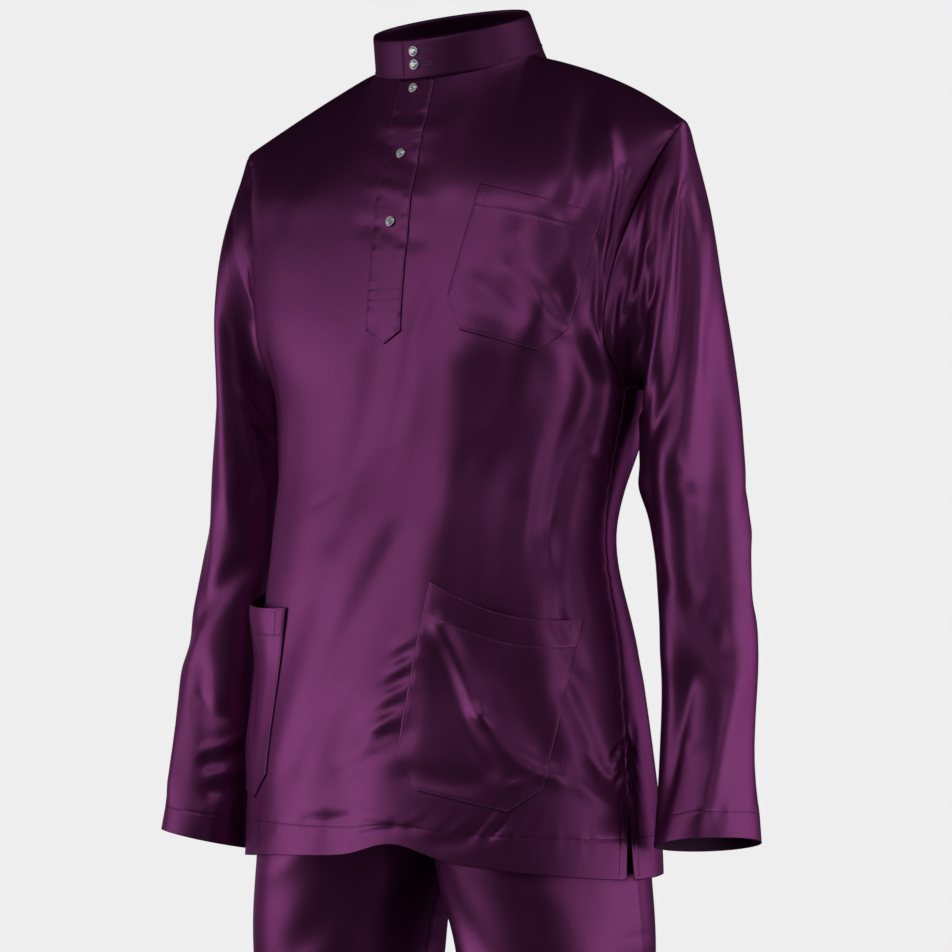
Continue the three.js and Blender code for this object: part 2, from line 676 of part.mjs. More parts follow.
function collarStud(height) {
  const place = collarPoint(0, height, COLLAR_WALL + LAY);
  const above = collarPoint(0, height + 1, COLLAR_WALL + LAY);
  const up = above.sub(place);
  return { place, outward: vector(1, 0, 0).cross(up).normalize(), stack: 2 * COLLAR_WALL + LAY };
}

function placketStud(front, level) {
  const middle = (front.points.length - 1) / 2;
  const column = front.points[middle];
  const j = column.findIndex((p) => p.z > level);
  const share = (level - column[j - 1].z) / (column[j].z - column[j - 1].z);
  const place = column[j - 1].clone().lerp(column[j], share);
  const up = column[j].clone().sub(column[j - 1]);
  const outward = vector(1, 0, 0).cross(up).normalize();
  place.addScaledVector(outward, LAY + WALL);
  return { place, outward, stack: 2 * WALL + LAY };
}

// Trousers

function trouserRow(level) {
  const rows = [...TROUSER_ROWS].reverse();
  const levels = rows.map((row) => row.level);
  const first = smoothAt(levels, rows.map((row) => vector(row.outer, row.inner, row.middle_y)), level);
  const second = smoothAt(levels, rows.map((row) => vector(row.front_y, row.back_y, 0)), level);
  const inner = level >= CROTCH ? 0 : Math.max(first.y, LEG_PARTING * (CROTCH - level));
  return { outer: first.x, inner, middle_y: first.z, front_y: second.x, back_y: second.y };
}

// A leg's section turns from a quarter of the hips' ring into half of a ring of its own
function trouserPoint(side, front, s, level) {
  const row = trouserRow(level);
  const down = THREE.MathUtils.clamp((RISE_TOP - level) / (RISE_TOP - CROTCH), 0, 1);
  const sweep = Math.PI / 2 + Math.asin(down);
  const half = (row.outer - row.inner) / (1 - Math.cos(sweep));
  const x = row.outer - half + half * Math.cos(s * sweep);
  const depth = front ? row.front_y - row.middle_y : row.back_y - row.middle_y;
  return vector(side * Math.max(x, 0), row.middle_y + depth * Math.sin(s * sweep), level);
}

function trouserLevels() {
  const levels = stepLevels(TROUSER_ROWS, TROUSER_ROWS.at(-1).level);
  return levels.map((level) => {
    if (level >= RISE_TOP || level <= CROTCH) return level;
    const share = (RISE_TOP - level) / (RISE_TOP - CROTCH);
    return RISE_TOP - (RISE_TOP - CROTCH) * Math.sin((share * Math.PI) / 2);
  });
}

function trouserPanel(side, front) {
  const levels = trouserLevels();
  const points = steps(TROUSER_STEPS).map((s) => levels.map((level) => (
    trouserPoint(side, front, s, level)
  )));
  const sign = side * (front ? 1 : -1);
  return { points, sign };
}

function waistbandPanel() {
  const level = TROUSER_ROWS[0].level;
  const round = [];
  const count = 4 * TROUSER_STEPS;
  for (let k = 0; k < count; k += 1) {
    const quarter = Math.floor(k / TROUSER_STEPS);
    const s = (k % TROUSER_STEPS) / TROUSER_STEPS;
    const side = quarter === 0 || quarter === 3 ? 1 : -1;
    const front = quarter >= 2;
    const share = quarter % 2 === 0 ? s : 1 - s;
    round.push(trouserPoint(side, front, share, level));
  }
  const points = round.map((p) => [SEAM, WAISTBAND_HEIGHT].map((up) => p.clone().setZ(level + up)));
  const panel = { points, sign: 1, round: true };
  findNormals(panel);
  return panel;
}

// The whole set

const set = new THREE.Group();

function add(name, geometry, finish = SATIN) {
  const mesh = new THREE.Mesh(geometry, new THREE.MeshStandardMaterial(finish));
  mesh.name = name;
  set.add(mesh);
}

const front = bodyPanel(true);
const back = bodyPanel(false);
const sleeveLeft = sleevePanel(front, back, 1);
const sleeveRight = sleevePanel(front, back, -1);
openSlits(front);
openSlits(back);
seamPanels([front, back, sleeveLeft, sleeveRight]);
const collar = collarPanel();

const studs = [
  ...COLLAR_STUD_HEIGHTS.map((height) => collarStud(height)),
  ...PLACKET_STUD_LEVELS.map((level) => placketStud(front, level)),
];
const holes = studs.map((stud) => setAt(holeGeometry(), stud.place, stud.outward));
const collarHoles = holes.slice(0, COLLAR_STUD_HEIGHTS.length);
const placketHoles = holes.slice(COLLAR_STUD_HEIGHTS.length);
const slit = new THREE.BoxGeometry(NECK_SLIT_WIDTH, NECK_HALF_DEPTH, -NECK_SLIT_END);
slit.translate(0, -NECK_SLIT_MIDDLE, NECK_SLIT_END / 2);

add('shirt_front', cut(wallGeometry(front, 0, -WALL), slit, ...placketHoles));
add('shirt_back', wallGeometry(back, 0, -WALL));
add('sleeve_left', wallGeometry(sleeveLeft, 0, -WALL));
add('sleeve_right', wallGeometry(sleeveRight, 0, -WALL));
add('collar', cut(wallGeometry(collar, 0, -COLLAR_WALL), ...collarHoles));
add('placket', cut(placketGeometry(front), ...placketHoles));
POCKETS.forEach((pocket) => add(pocket.name, pocketGeometry(front, pocket)));
studs.forEach((stud, k) => {
  add(`stud_${k + 1}`, setAt(studGeometry(stud.stack), stud.place, stud.outward), STUD_METAL);
});

const trousers = [1, -1].flatMap((side) => [true, false].map((isFront) => ({
  name: `trouser_${isFront ? 'front' : 'back'}_${side > 0 ? 'left' : 'right'}`,
  panel: trouserPanel(side, isFront),
})));
seamPanels(trousers.map((piece) => piece.panel));
trousers.forEach((piece) => add(piece.name, wallGeometry(piece.panel, 0, -TROUSER_WALL)));
add('trouser_waistband', wallGeometry(waistbandPanel(), 0, -TROUSER_WALL));

export default set;
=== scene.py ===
"""Baju melayu: a purple satin shirt with a stand collar over matching trousers, hollow, as worn.

Shapes are worked out in millimetres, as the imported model's are: the origin is the middle of the
neck opening, +Z is up, the front faces -Y and the wearer's left is +X.
"""

import bpy
import numpy as np
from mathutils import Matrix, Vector


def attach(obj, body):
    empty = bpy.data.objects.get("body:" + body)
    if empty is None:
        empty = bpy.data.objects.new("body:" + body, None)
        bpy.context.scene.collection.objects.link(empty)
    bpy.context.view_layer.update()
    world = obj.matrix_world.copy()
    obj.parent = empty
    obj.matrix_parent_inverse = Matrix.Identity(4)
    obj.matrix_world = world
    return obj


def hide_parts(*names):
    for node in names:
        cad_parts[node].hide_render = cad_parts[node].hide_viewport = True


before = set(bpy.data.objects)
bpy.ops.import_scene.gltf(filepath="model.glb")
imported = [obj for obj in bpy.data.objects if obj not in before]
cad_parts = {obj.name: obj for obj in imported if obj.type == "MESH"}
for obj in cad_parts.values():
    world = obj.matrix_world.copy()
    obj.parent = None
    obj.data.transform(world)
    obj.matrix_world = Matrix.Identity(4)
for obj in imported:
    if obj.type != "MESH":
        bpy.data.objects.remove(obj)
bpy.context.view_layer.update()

MM = 0.001
TURN = 2 * np.pi


def table(columns, *rows):
    """Named columns of a table that is given row by row."""
    return dict(zip(columns.split(), np.array(rows, float).T))


# Camera

PHOTO_WIDTH = 952
CAMERA_AZIMUTH = np.radians(32)
CAMERA_DISTANCE = 2.8
CAMERA_LEVEL = -0.4126
CAMERA_FOCAL_PIXELS = 3108
MIDDLE_COLUMN = 459
EYE_ROW = 519
SENSOR_WIDTH = 36


def make_camera():
    """A level camera that looks at the body's upright axis."""
    back = Vector((np.sin(CAMERA_AZIMUTH), -np.cos(CAMERA_AZIMUTH), 0))
    data = bpy.data.cameras.new("camera")
    data.sensor_width = SENSOR_WIDTH
    data.lens = SENSOR_WIDTH * CAMERA_FOCAL_PIXELS / PHOTO_WIDTH
    data.shift_x = 0.5 - MIDDLE_COLUMN / PHOTO_WIDTH
    data.shift_y = EYE_ROW / PHOTO_WIDTH - 0.5
    camera = bpy.data.objects.new("camera", data)
    camera.location = back * CAMERA_DISTANCE + Vector((0, 0, CAMERA_LEVEL))
    camera.rotation_mode = "QUATERNION"
    camera.rotation_quaternion = (-back).to_track_quat("-Z", "Y")
    bpy.context.collection.objects.link(camera)
    bpy.context.scene.camera = camera


make_camera()

# Sizes of the cut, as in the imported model

LIFT = 1.6  # of a patch's outer side above the cloth that it is sewn to
NECK_HALF_WIDTH = 77
NECK_HALF_DEPTH = 70
NECK_RISE = 0.33

COLLAR_HEIGHT = 36
COLLAR_WALL = 1.6
COLLAR_TOP_HALF_WIDTH = 74
COLLAR_TOP_HALF_DEPTH = 60
COLLAR_TOP_FORWARD = 14
COLLAR_START = 14
COLLAR_END = -370
COLLAR_RISE = (290, 341)

SHOULDER = np.array([231, 0, -70])
SHOULDER_BOW_UP = 8
SHOULDER_BOW_BACK = 14
NECK_SHARE = 0.36

# The body's rings from the hem to the armpits. `seam` is how far the side seams stand in front of
# the sides, and `turn` how far the cloth hangs turned to the wearer's right, both in degrees.
RINGS = table(
    "level half_width half_depth middle_y seam turn",
    (-705, 205, 133, -16, -7, 19),
    (-660, 201, 131, -17, -7, 18),
    (-617, 197, 129, -19, -7, 17),
    (-528, 185, 121, -23, -8, 13),
    (-422, 168, 110, -29, -7, 7),
    (-369, 173, 115, -16, 2, 3),
    (-300, 181, 121, -7, 5, 0),
)
# The panels' rows beside the armholes, from the middle to the armhole seam
FRONT_ROWS = table(
    "level middle_y middle_z edge_x edge_y edge_z sweep",
    (-260, -126, -260, 180, -52, -262, 81),
    (-202, -119, -202, 187, -55, -207, 81),
    (-156, -111, -154, 197, -42, -158, 81),
    (-118, -103, -120, 209, -26, -118, 81),
)
BACK_ROWS = table(
    "level middle_y middle_z edge_x edge_y edge_z sweep",
    (-260, 117, -262, 184, 30, -274, 91),
    (-202, 119, -200, 190, 58, -218, 86),
    (-156, 114, -150, 198, 57, -162, 84),
    (-118, 104, -100, 210, 42, -118, 84),
)
HEM_LEVEL = -705
ARMPIT_LEVEL = -300
TOP_LEVEL = -10
HEM_SIDE_DROP = 17
HEM_FOLD_RISE = 14
HEM_FOLD_AT = 7
HEM_FOLD_WIDTH = 11
SLIT_TOP = -655
SLIT_GAPE = 14
BODY_SCALE = np.radians(1) * 160  # mm of cloth in each degree round the body
HALF_ROUND = 322  # from the middle line of a panel to its side seam

SLEEVE_RINGS = table(
    "middle_x middle_y level half_width half_depth rise lean",
    (217, 7, -220, 29, 54, 80, 8),
    (226, 18, -318, 38, 59, 14, 2),
    (232, 13, -366, 42, 51, 0, 0),
    (241, 12, -440, 41, 49, 0, 0),
    (253, 2, -525, 40, 46, 0, 0),
    (256, -8, -610, 39, 48, 0, 0),
    (261, -18, -690, 42, 59, 0, 0),
)
CUFF_LEVEL = {1: 690, -1: 713}
CUFF_BACK_DROP = 9
CUFF_OUT_RISE = 7
CAP_LENGTH = 70
SLEEVE_SCALE = np.radians(1) * 48  # mm of cloth in each degree round the sleeve
ARMHOLE_STOPS = ([0, 2, 4, 6, 8, 12], [-300, -260, -202, -156, -118, -10])

TROUSER_ROWS = table(
    "level outer inner front_y back_y middle_y",
    (-1430, 178, 36, -79, 67, -6),
    (-1060, 182, 30, -89, 68, -10),
    (-880, 192, 30, -98, 72, -13),
    (-779, 195, 21, -108, 80, -14),
    (-705, 188, 0, -116, 88, -14),
    (-600, 181, 0, -128, 95, -18),
    (-560, 174, 0, -128, 89, -19),
    (-480, 156, 0, -124, 74, -22),
    (-432, 150, 0, -120, 66, -24),
)
RISE_TOP = -600
CROTCH = -705
LEG_PARTING = 0.02
WAISTBAND_HEIGHT = 38
WAISTBAND_WALL = 1.4
TROUSER_TOP = -432
TROUSER_HEM = -1430
TROUSER_HEM_TURN = 30
TROUSER_PANEL_WIDTH = 160
TROUSER_WALL = 1.0

# Turned edges and their stitches

CLOTH_WALL = 0.9
HEM_TURN = 25
SLIT_TURN = 13
EDGE_STITCH = 2
COLLAR_OVER = 2
SEAM_MARGIN = 3  # where rows of stitches end before a seam
POCKET_TACK = 7  # width of the stitched boxes at the ends of a pocket's mouth
BAR_TACK = 5

# Places where short ripples gather
SLIT_PULL_LEVEL = -622
HEM_PULL_ANGLE = 47
HEM_PULL_RISE = 34

NECK_SLIT = 0.4 / HALF_ROUND
NECK_SLIT_END = -226
PLACKET_WIDTH = 36
PLACKET_TOP = -25
PLACKET_END = -250
PLACKET_POINT = 11
PLACKET_ROWS = (-213, -222)

HIP_POCKET = dict(width=132, height=178, corner_width=26, corner_height=26, band=25)
POCKETS = {
    "pocket_chest": dict(
        angle=44.5, level=-198, width=110, height=126, tilt=-15, corner_width=20,
        corner_height=24, band=17, sag=0, sag_at=0, gape=1.5,
    ),
    "pocket_left": dict(HIP_POCKET, angle=44, level=-566, tilt=-12, sag=15, sag_at=0.1, gape=4),
    "pocket_right": dict(HIP_POCKET, angle=-46, level=-570, tilt=-8, sag=8, sag_at=0, gape=11),
}

# Folds: soft troughs (a negative depth is a ridge) along lines between two places, each given as
# an angle from the front and a level. `bow` is how far the line's middle bends to one side.

FOLD_COLUMNS = "from_angle from_level to_angle to_level half_width depth bow"
BODY_FOLDS = table(
    FOLD_COLUMNS,
    (-1, -270, -9, -420, 20, 4, 0),
    (26, -280, 28, -520, 22, -5, 0),
    (38, -330, 40, -520, 24, 4, 0),
    (62, -190, 38, -330, 18, -4, 0),
    (72, -270, 62, -420, 20, 6, 0),
    (-66, -280, -58, -470, 22, 5, 0),
    (-14, -500, -30, -690, 24, 4, 0),
    (7, -600, 7, -705, 22, 6, 0),
    (150, -250, 165, -470, 24, 6, 0),
    (212, -240, 196, -440, 24, 6, 0),
    (176, -420, 172, -700, 28, 6, 0),
    (130, -520, 136, -700, 24, 5, 0),
    (226, -540, 222, -700, 24, 5, 0),
)
SLEEVE_FOLDS = table(
    FOLD_COLUMNS,
    (70, -190, 35, -360, 16, 5, 0),
    (120, -170, 85, -380, 16, -4, 0),
    (160, -300, 120, -480, 16, 4, 0),
    (60, -460, 130, -520, 15, 4, 0),
    (90, -560, 60, -660, 15, 5, 0),
    (150, -560, 120, -660, 14, -4, 0),
    (250, -380, 215, -470, 15, 5, 0),
    (290, -480, 240, -560, 15, 4, 0),
)

# Small helpers


def smoothstep(value, start, end):
    """3s^2 - 2s^3, where s is the value's share of the way from start to end, held in 0 to 1."""
    share = np.clip((value - start) / (end - start), 0, 1)
    return share * share * (3 - 2 * share)


def bell(value, width):
    """A bell curve: e to the power of minus the square of value over width."""
    return np.exp(-((value / width) ** 2))


def blend(first, second, share):
    """The straight mix of two values."""
    return first + (second - first) * share


def unit(vectors):
    """Vectors divided by their lengths."""
    return vectors / np.maximum(np.linalg.norm(vectors, axis=-1, keepdims=True), 1e-9)


def spread(*values):
    """The values' common shape, and each value as a flat array of that shape's length."""
    shape = np.broadcast(*values).shape
    return shape, *(np.broadcast_to(value, shape).astype(float).ravel() for value in values)


def smooth(levels, values, at):
    """A cubic Hermite curve for each place through values[row, place, :] at rising levels.

    The slope at a row is the mix of the rates on its two sides, weighted by their distances.
    """
    steps = np.diff(levels)[:, None, None]
    rates = np.diff(values, axis=0) / steps
    share = steps[:-1] / (steps[:-1] + steps[1:])
    slopes = np.concatenate([rates[:1], blend(rates[:-1], rates[1:], share), rates[-1:]])
    row = np.clip(np.searchsorted(levels, at) - 1, 0, len(levels) - 2)
    place = np.arange(len(at))
    length = (levels[row + 1] - levels[row])[:, None]
    s = (at - levels[row])[:, None] / length
    return (
        values[row, place] * (1 + 2 * s) * (1 - s) ** 2
        + slopes[row, place] * s * (1 - s) ** 2 * length
        + values[row + 1, place] * s * s * (3 - 2 * s)
        + slopes[row + 1, place] * s * s * (s - 1) * length
    )


def fold_push(folds, scale, across, level):
    """The sum of the folds' depths at places on an unrolled cloth, `scale` mm for each unit across.

    A fold is a bell curve of the distance from its line, and fades past the line's ends.
    """
    across = across * scale
    push = np.zeros(len(across))
    for a, b, c, d, width, depth, bow in zip(*folds.values()):
        start = a * scale, b
        line = (c - a) * scale, d - b
        length = np.hypot(*line)
        ahead = ((across - start[0]) * line[0] + (level - start[1]) * line[1]) / length
        aside = ((across - start[0]) * line[1] - (level - start[1]) * line[0]) / length
        share = np.clip(ahead / length, 0, 1)
        aside = aside - bow * 4 * share * (1 - share)
        past = np.maximum(np.maximum(-ahead, ahead - length), 0)
        push += depth * bell(past, 1.5 * width) * bell(aside, width)
    return push


# Shirt body


def row_points(rows, t):
    """Points of the rows above the armpits: each is carried as a ring's part from its middle to
    its edge, x = edge x sin(sweep t) / sin(sweep), and y and z mixed by the versed sine."""
    columns = {name: column[:, None] for name, column in rows.items()}
    reach = np.radians(columns["sweep"])
    to_edge = (1 - np.cos(reach * t)) / (1 - np.cos(reach))
    return np.stack(
        [
            columns["edge_x"] * np.sin(reach * t) / np.sin(reach),
            blend(columns["middle_y"], columns["edge_y"], to_edge),
            blend(columns["middle_z"], columns["edge_z"], to_edge),
        ],
        -1,
    )


def top_points(front, t):
    """The neckline, half an ellipse up to NECK_SHARE, and beyond it the bowed shoulder seams."""
    share = np.abs(t)
    quarter = np.clip(t / NECK_SHARE, -1, 1) * np.pi / 2
    neck_y = (-1 if front else 1) * NECK_HALF_DEPTH * np.cos(quarter)
    neck = np.stack([NECK_HALF_WIDTH * np.sin(quarter), neck_y, NECK_RISE * neck_y], -1)
    out = np.clip((share - NECK_SHARE) / (1 - NECK_SHARE), 0, 1)
    bow = np.sin(np.pi * out)
    x = np.sign(t) * blend(NECK_HALF_WIDTH, SHOULDER[0], out)
    seam = np.stack([x, SHOULDER_BOW_BACK * bow, SHOULDER[2] * out + SHOULDER_BOW_UP * bow], -1)
    return np.where(share[:, None] <= NECK_SHARE, neck, seam)


def body_rows(front, t):
    """The rising levels, and the points where the lengthwise lines at t cross the rows."""
    ring = {name: column[:, None] for name, column in RINGS.items()}
    if front:
        angle = t * (90 - ring["seam"]) - ring["turn"]
    else:
        angle = 180 - t * (90 + ring["seam"]) - ring["turn"]
    swing = np.radians(angle)
    x = ring["half_width"] * np.sin(swing)
    y = ring["middle_y"] - ring["half_depth"] * np.cos(swing)
    z = ring["level"] + np.zeros_like(x)
    z[0] -= HEM_SIDE_DROP * (np.sin(swing[0]) ** 2 if front else 1)
    if front:
        z[0] += HEM_FOLD_RISE * bell(angle[0] - HEM_FOLD_AT, HEM_FOLD_WIDTH)
    upper, other = (FRONT_ROWS, BACK_ROWS) if front else (BACK_ROWS, FRONT_ROWS)
    rows = row_points(upper, t)
    top = top_points(front, t)
    over = row_points(other, t)[-1]
    on_shoulder = smoothstep(np.abs(t), 0.5 * NECK_SHARE, 1.3 * NECK_SHARE)[:, None]
    ghost = blend(2 * top - rows[-1], over, on_shoulder)
    points = np.concatenate([np.stack([x, y, z], -1), rows, top[None], ghost[None]])
    above = 2 * TOP_LEVEL - upper["level"][-1]
    return np.concatenate([RINGS["level"], upper["level"], [TOP_LEVEL, above]]), points


def bare_body(front, t, level):
    """The cloth before its folds. Up to the armpits the lines near the side seams stay upright."""
    levels, points = body_rows(front, t)
    upper = smooth(levels, points, level)
    armpit = len(RINGS["level"]) - 1
    rise = np.array([0, 0, levels[armpit + 1] - levels[armpit]])
    share = smoothstep(np.abs(t), 0.7, 1)[:, None]
    points[armpit + 1] = blend(points[armpit + 1], points[armpit] + rise, share)
    return np.where(level[:, None] > ARMPIT_LEVEL, upper, smooth(levels, points, level))


def body(front, t, level, lift=0):
    """The folded cloth's outer side, moved out by `lift`, and its normals, at places t and level.

    The side slits open by moving the places near the seams toward the panel's middle.
    """
    shape, t, level = spread(t, level)
    open_by = SLIT_GAPE / 2 * np.clip((SLIT_TOP - level) / (SLIT_TOP - HEM_LEVEL), 0, 1)
    t = t - np.sign(t) * open_by / HALF_ROUND * smoothstep(np.abs(t), 0.9, 1)
    step_t, step_level = 0.004, 1.5
    west, east = np.maximum(t - step_t, -1), np.minimum(t + step_t, 1)
    low, high = np.maximum(level - step_level, HEM_LEVEL), np.minimum(level + step_level, TOP_LEVEL)
    across = bare_body(front, east, level) - bare_body(front, west, level)
    along = bare_body(front, t, high) - bare_body(front, t, low)
    normal = unit(np.cross(across, along)) * (1 if front else -1)
    angle = 90 * t if front else 180 - 90 * t
    fade = 1 - smoothstep(np.abs(t), 0.86, 1)
    fade = fade * (1 - smoothstep(level, ARMPIT_LEVEL, FRONT_ROWS["level"][-1]))
    push = fold_push(BODY_FOLDS, BODY_SCALE, angle, level) * fade
    push = push + body_creases(front, t, angle, level)
    points = bare_body(front, t, level) + normal * (lift - push)[:, None]
    return points.reshape(*shape, 3), normal.reshape(*shape, 3)


# Sleeves


def armhole_points(side, round_share):
    """The armhole seam: from the armpit up the front for half of the way, then down the back."""
    stop = 24 * (round_share % 1)
    level = np.interp(np.minimum(stop, 24 - stop), *ARMHOLE_STOPS)
    edge = np.full(len(stop), float(side))
    front, back = (bare_body(is_front, edge, level) for is_front in (True, False))
    return np.where((stop <= 12)[:, None], front, back)


def bare_sleeve(side, round_share, along):
    """A sleeve before its folds: each lengthwise line starts on the armhole seam and goes through
    the rings, which are ellipses that lean and rise toward their outer sides."""
    swing = TURN * round_share
    outward = -np.cos(swing)
    ring = {name: column[:, None] for name, column in SLEEVE_RINGS.items()}
    cuff = CUFF_LEVEL[side]
    z = ring["level"] + ring["rise"] * outward
    z[-1] = CUFF_BACK_DROP * np.sin(swing) + CUFF_OUT_RISE * outward - cuff
    rings = np.stack(
        [
            side * (ring["middle_x"] + ring["half_width"] * outward),
            ring["middle_y"] - ring["half_depth"] * np.sin(swing) - ring["lean"] * outward,
            z,
        ],
        -1,
    )
    levels = -SLEEVE_RINGS["level"]
    levels[-1] = cuff
    levels = np.concatenate([[levels[0] - CAP_LENGTH], levels])
    return smooth(levels, np.concatenate([armhole_points(side, round_share)[None], rings]), along)


def sleeve_ends(side):
    """Where a sleeve's lengthwise lines start and end."""
    return -SLEEVE_RINGS["level"][0] - CAP_LENGTH, CUFF_LEVEL[side]


def sleeve(side, round_share, along, lift=0):
    """The folded sleeve's outer side, moved out by `lift`, and its normals."""
    shape, round_share, along = spread(round_share, along)
    start, end = sleeve_ends(side)
    step_round, step_along = 0.003, 1.5
    east = bare_sleeve(side, round_share + step_round, along)
    around = east - bare_sleeve(side, round_share - step_round, along)
    down = bare_sleeve(side, round_share, np.minimum(along + step_along, end))
    down = down - bare_sleeve(side, round_share, np.maximum(along - step_along, start))
    normal = -side * unit(np.cross(around, down))
    angle = 360 * (round_share % 1)
    push = fold_push(SLEEVE_FOLDS, SLEEVE_SCALE, angle, -along)
    push = push * smoothstep(along, start, start + 20) + sleeve_creases(side, angle, along)
    points = bare_sleeve(side, round_share, along) + normal * (lift - push)[:, None]
    return points.reshape(*shape, 3), normal.reshape(*shape, 3)


# Creases: the satin's finer folds, left by wear and by the pull of seams and pockets

FRONT_CREASES = table(
    FOLD_COLUMNS,
    # placket and upper chest
    (-7, -72, 5, -100, 9, 1.4, 2),
    (-6, -60, 7, -66, 8, -1, 0),
    (-6, -120, 6, -132, 8, -1.2, 0),
    (-8, -158, 8, -172, 8, 1.4, 0),
    (13, -60, 16, -120, 12, -1.6, 2),
    (14, -222, 5, -345, 9, 1.4, 3),
    (-20, -60, -44, -128, 17, 1.4, 6),
    # chest beside the armhole
    (64, -84, 79, -168, 9, -4, 2),
    (55, -64, 57, -134, 12, 3.6, 4),
    (75, -118, 85, -190, 6, 2.6, 0),
    (78, -186, 87, -240, 9, 2.6, 0),
    (82, -240, 72, -350, 14, 2.2, 6),
    # inside the chest pocket
    (47, -150, 54, -240, 20, -3, 0),
    (43, -172, 63, -226, 12, 3.4, 0),
    (32, -212, 47, -238, 10, 2, 0),
    (42, -200, 66, -248, 8, -1.8, 0),
    (57, -162, 69, -203, 8, -1.6, 0),
    # waist
    (-19, -400, -12, -388, 3, 0.8, 0),
    (50, -400, 51, -508, 10, 1.2, 0),
    (63, -420, 65, -505, 8, 1.4, 0),
    (66, -330, 60, -440, 14, 1.4, 4),
    (74, -350, 86, -366, 5, 1.6, 2),
    (78, -372, 89, -380, 4, 1.4, -2),
    (-46, -330, -36, -470, 17, -1.6, 6),
    # long slanting fold from the waist to the hem
    (13, -436, -9, -624, 14, 2.8, 0),
    (-6, -460, -24, -640, 22, -1.6, 0),
    (8, -636, 24, -600, 8, 1.8, 0),
    (18, -590, 6, -650, 12, -1.4, 0),
    # inside the lower left pocket
    (31, -505, 44, -580, 6, -3.6, 0),
    (44, -580, 65, -632, 7, -3.2, 9),
    (31, -528, 47, -622, 8, 3.2, 3),
    (45, -516, 60, -606, 17, 4.4, 0),
    (28, -630, 41, -636, 10, 2.8, 0),
    (54, -638, 64, -628, 4, -1.8, 0),
    (65, -500, 72, -538, 7, 1.8, 0),
    (68, -560, 80, -626, 8, 2.4, 0),
    # inside the lower right pocket
    (-58, -504, -48, -620, 11, -2, 5),
    (-44, -520, -36, -600, 11, 1.8, -4),
    # hem, and the slit on the left
    (-2, -676, 12, -668, 5, 1.1, 2),
    (2, -664, 22, -672, 6, -1.2, -2),
    (16, -690, 28, -682, 5, 1, 0),
    (-28, -694, -18, -684, 5, 0.8, 0),
    (36, -690, 48, -676, 6, 1.4, 0),
    (76, -618, 88, -644, 6, 1.8, 3),
    (72, -640, 86, -662, 5, -1.5, 2),
    (-76, -618, -88, -644, 6, 1.8, 3),
)
BACK_CREASES = table(
    FOLD_COLUMNS,
    (262, -110, 236, -240, 17, 2.2, 6),
    (254, -130, 226, -300, 14, -1.7, 6),
    (98, -110, 124, -240, 17, 2.2, 6),
    (106, -130, 134, -300, 14, -1.7, 6),
    (150, -60, 210, -66, 17, 1.1, 14),
    (166, -150, 158, -330, 22, -1.7, 4),
    (196, -170, 202, -340, 20, 1.7, -4),
    (120, -350, 150, -420, 14, 1.7, 6),
    (240, -352, 206, -430, 14, 1.7, -6),
    (128, -400, 168, -470, 13, 1.4, 8),
    (230, -410, 190, -480, 13, -1.3, -8),
    (184, -470, 178, -690, 22, -1.9, 6),
    (150, -500, 156, -690, 20, 1.7, 6),
    (208, -500, 204, -690, 20, 1.7, -6),
    (112, -560, 120, -690, 14, -1.4, 4),
    (246, -560, 238, -690, 14, -1.4, 4),
    (96, -600, 92, -650, 8, 1.3, 3),
    # the cloth under the left arm
    (122, -300, 118, -336, 19, -9, 0),
    (264, -600, 268, -650, 8, 1.3, 3),
)
LEFT_SLEEVE_CREASES = table(
    FOLD_COLUMNS,
    # long folds from the cap to the inside of the arm
    (126, -150, 40, -161, 6, -2.8, -20),
    (118, -162, 62, -174, 6, 2.2, -8),
    (126, -166, 106, -204, 6, -2.4, 0),
    (106, -204, 44, -172, 6, -2.6, -8),
    (130, -196, 100, -234, 7, 2.6, 0),
    (100, -234, 42, -204, 7, 2.8, -6),
    (141, -208, 64, -304, 8, -3.6, -6),
    (154, -217, 92, -328, 8, 4.6, -5),
    (157, -238, 140, -300, 5, -1.4, 0),
    (168, -244, 104, -360, 15, -6, 0),
    (102, -360, 72, -520, 22, -8, 0),
    (60, -250, 24, -330, 12, 2, 6),
    (34, -316, 34, -380, 15, -8, 0),
    # elbow
    (84, -336, 48, -440, 9, 3, 0),
    (96, -372, 128, -380, 6, 0.8, 2),
    (104, -392, 140, -396, 6, -0.8, -3),
    (230, -380, 186, -400, 10, 1.3, 4),
    (240, -420, 190, -430, 10, -1.2, 4),
    (250, -180, 200, -300, 14, 2, 0),
    # forearm
    (146, -460, 176, -472, 4, 0.8, 0),
    (93, -556, 72, -632, 11, 1.8, 0),
    (138, -510, 120, -628, 15, -1.6, 0),
    (100, -600, 70, -608, 8, -0.8, 3),
    (240, -560, 210, -640, 14, 1.4, 4),
)
RIGHT_SLEEVE_CREASES = table(
    FOLD_COLUMNS,
    (120, -158, 60, -166, 8, -1.8, -4),
    (128, -191, 54, -181, 7, 2.6, -6),
    (92, -248, 56, -384, 8, 2.8, -5),
    (108, -256, 78, -400, 11, -2, -4),
    (70, -290, 39, -311, 4, -1.8, 0),
    (65, -304, 36, -328, 7, 2.4, 0),
    (60, -400, 34, -450, 10, 1.8, 4),
    (92, -578, 36, -594, 9, 2.4, -6),
    (70, -626, 20, -611, 4, -2.4, -4),
    (66, -640, 22, -628, 6, 2.2, -2),
    (56, -652, 20, -645, 4, -2, 0),
    (52, -666, 24, -660, 6, 1.8, 0),
    (200, -300, 150, -420, 13, 1.6, 6),
    (230, -380, 180, -400, 10, 1.3, 4),
    (220, -540, 190, -620, 14, 1.4, 4),
)
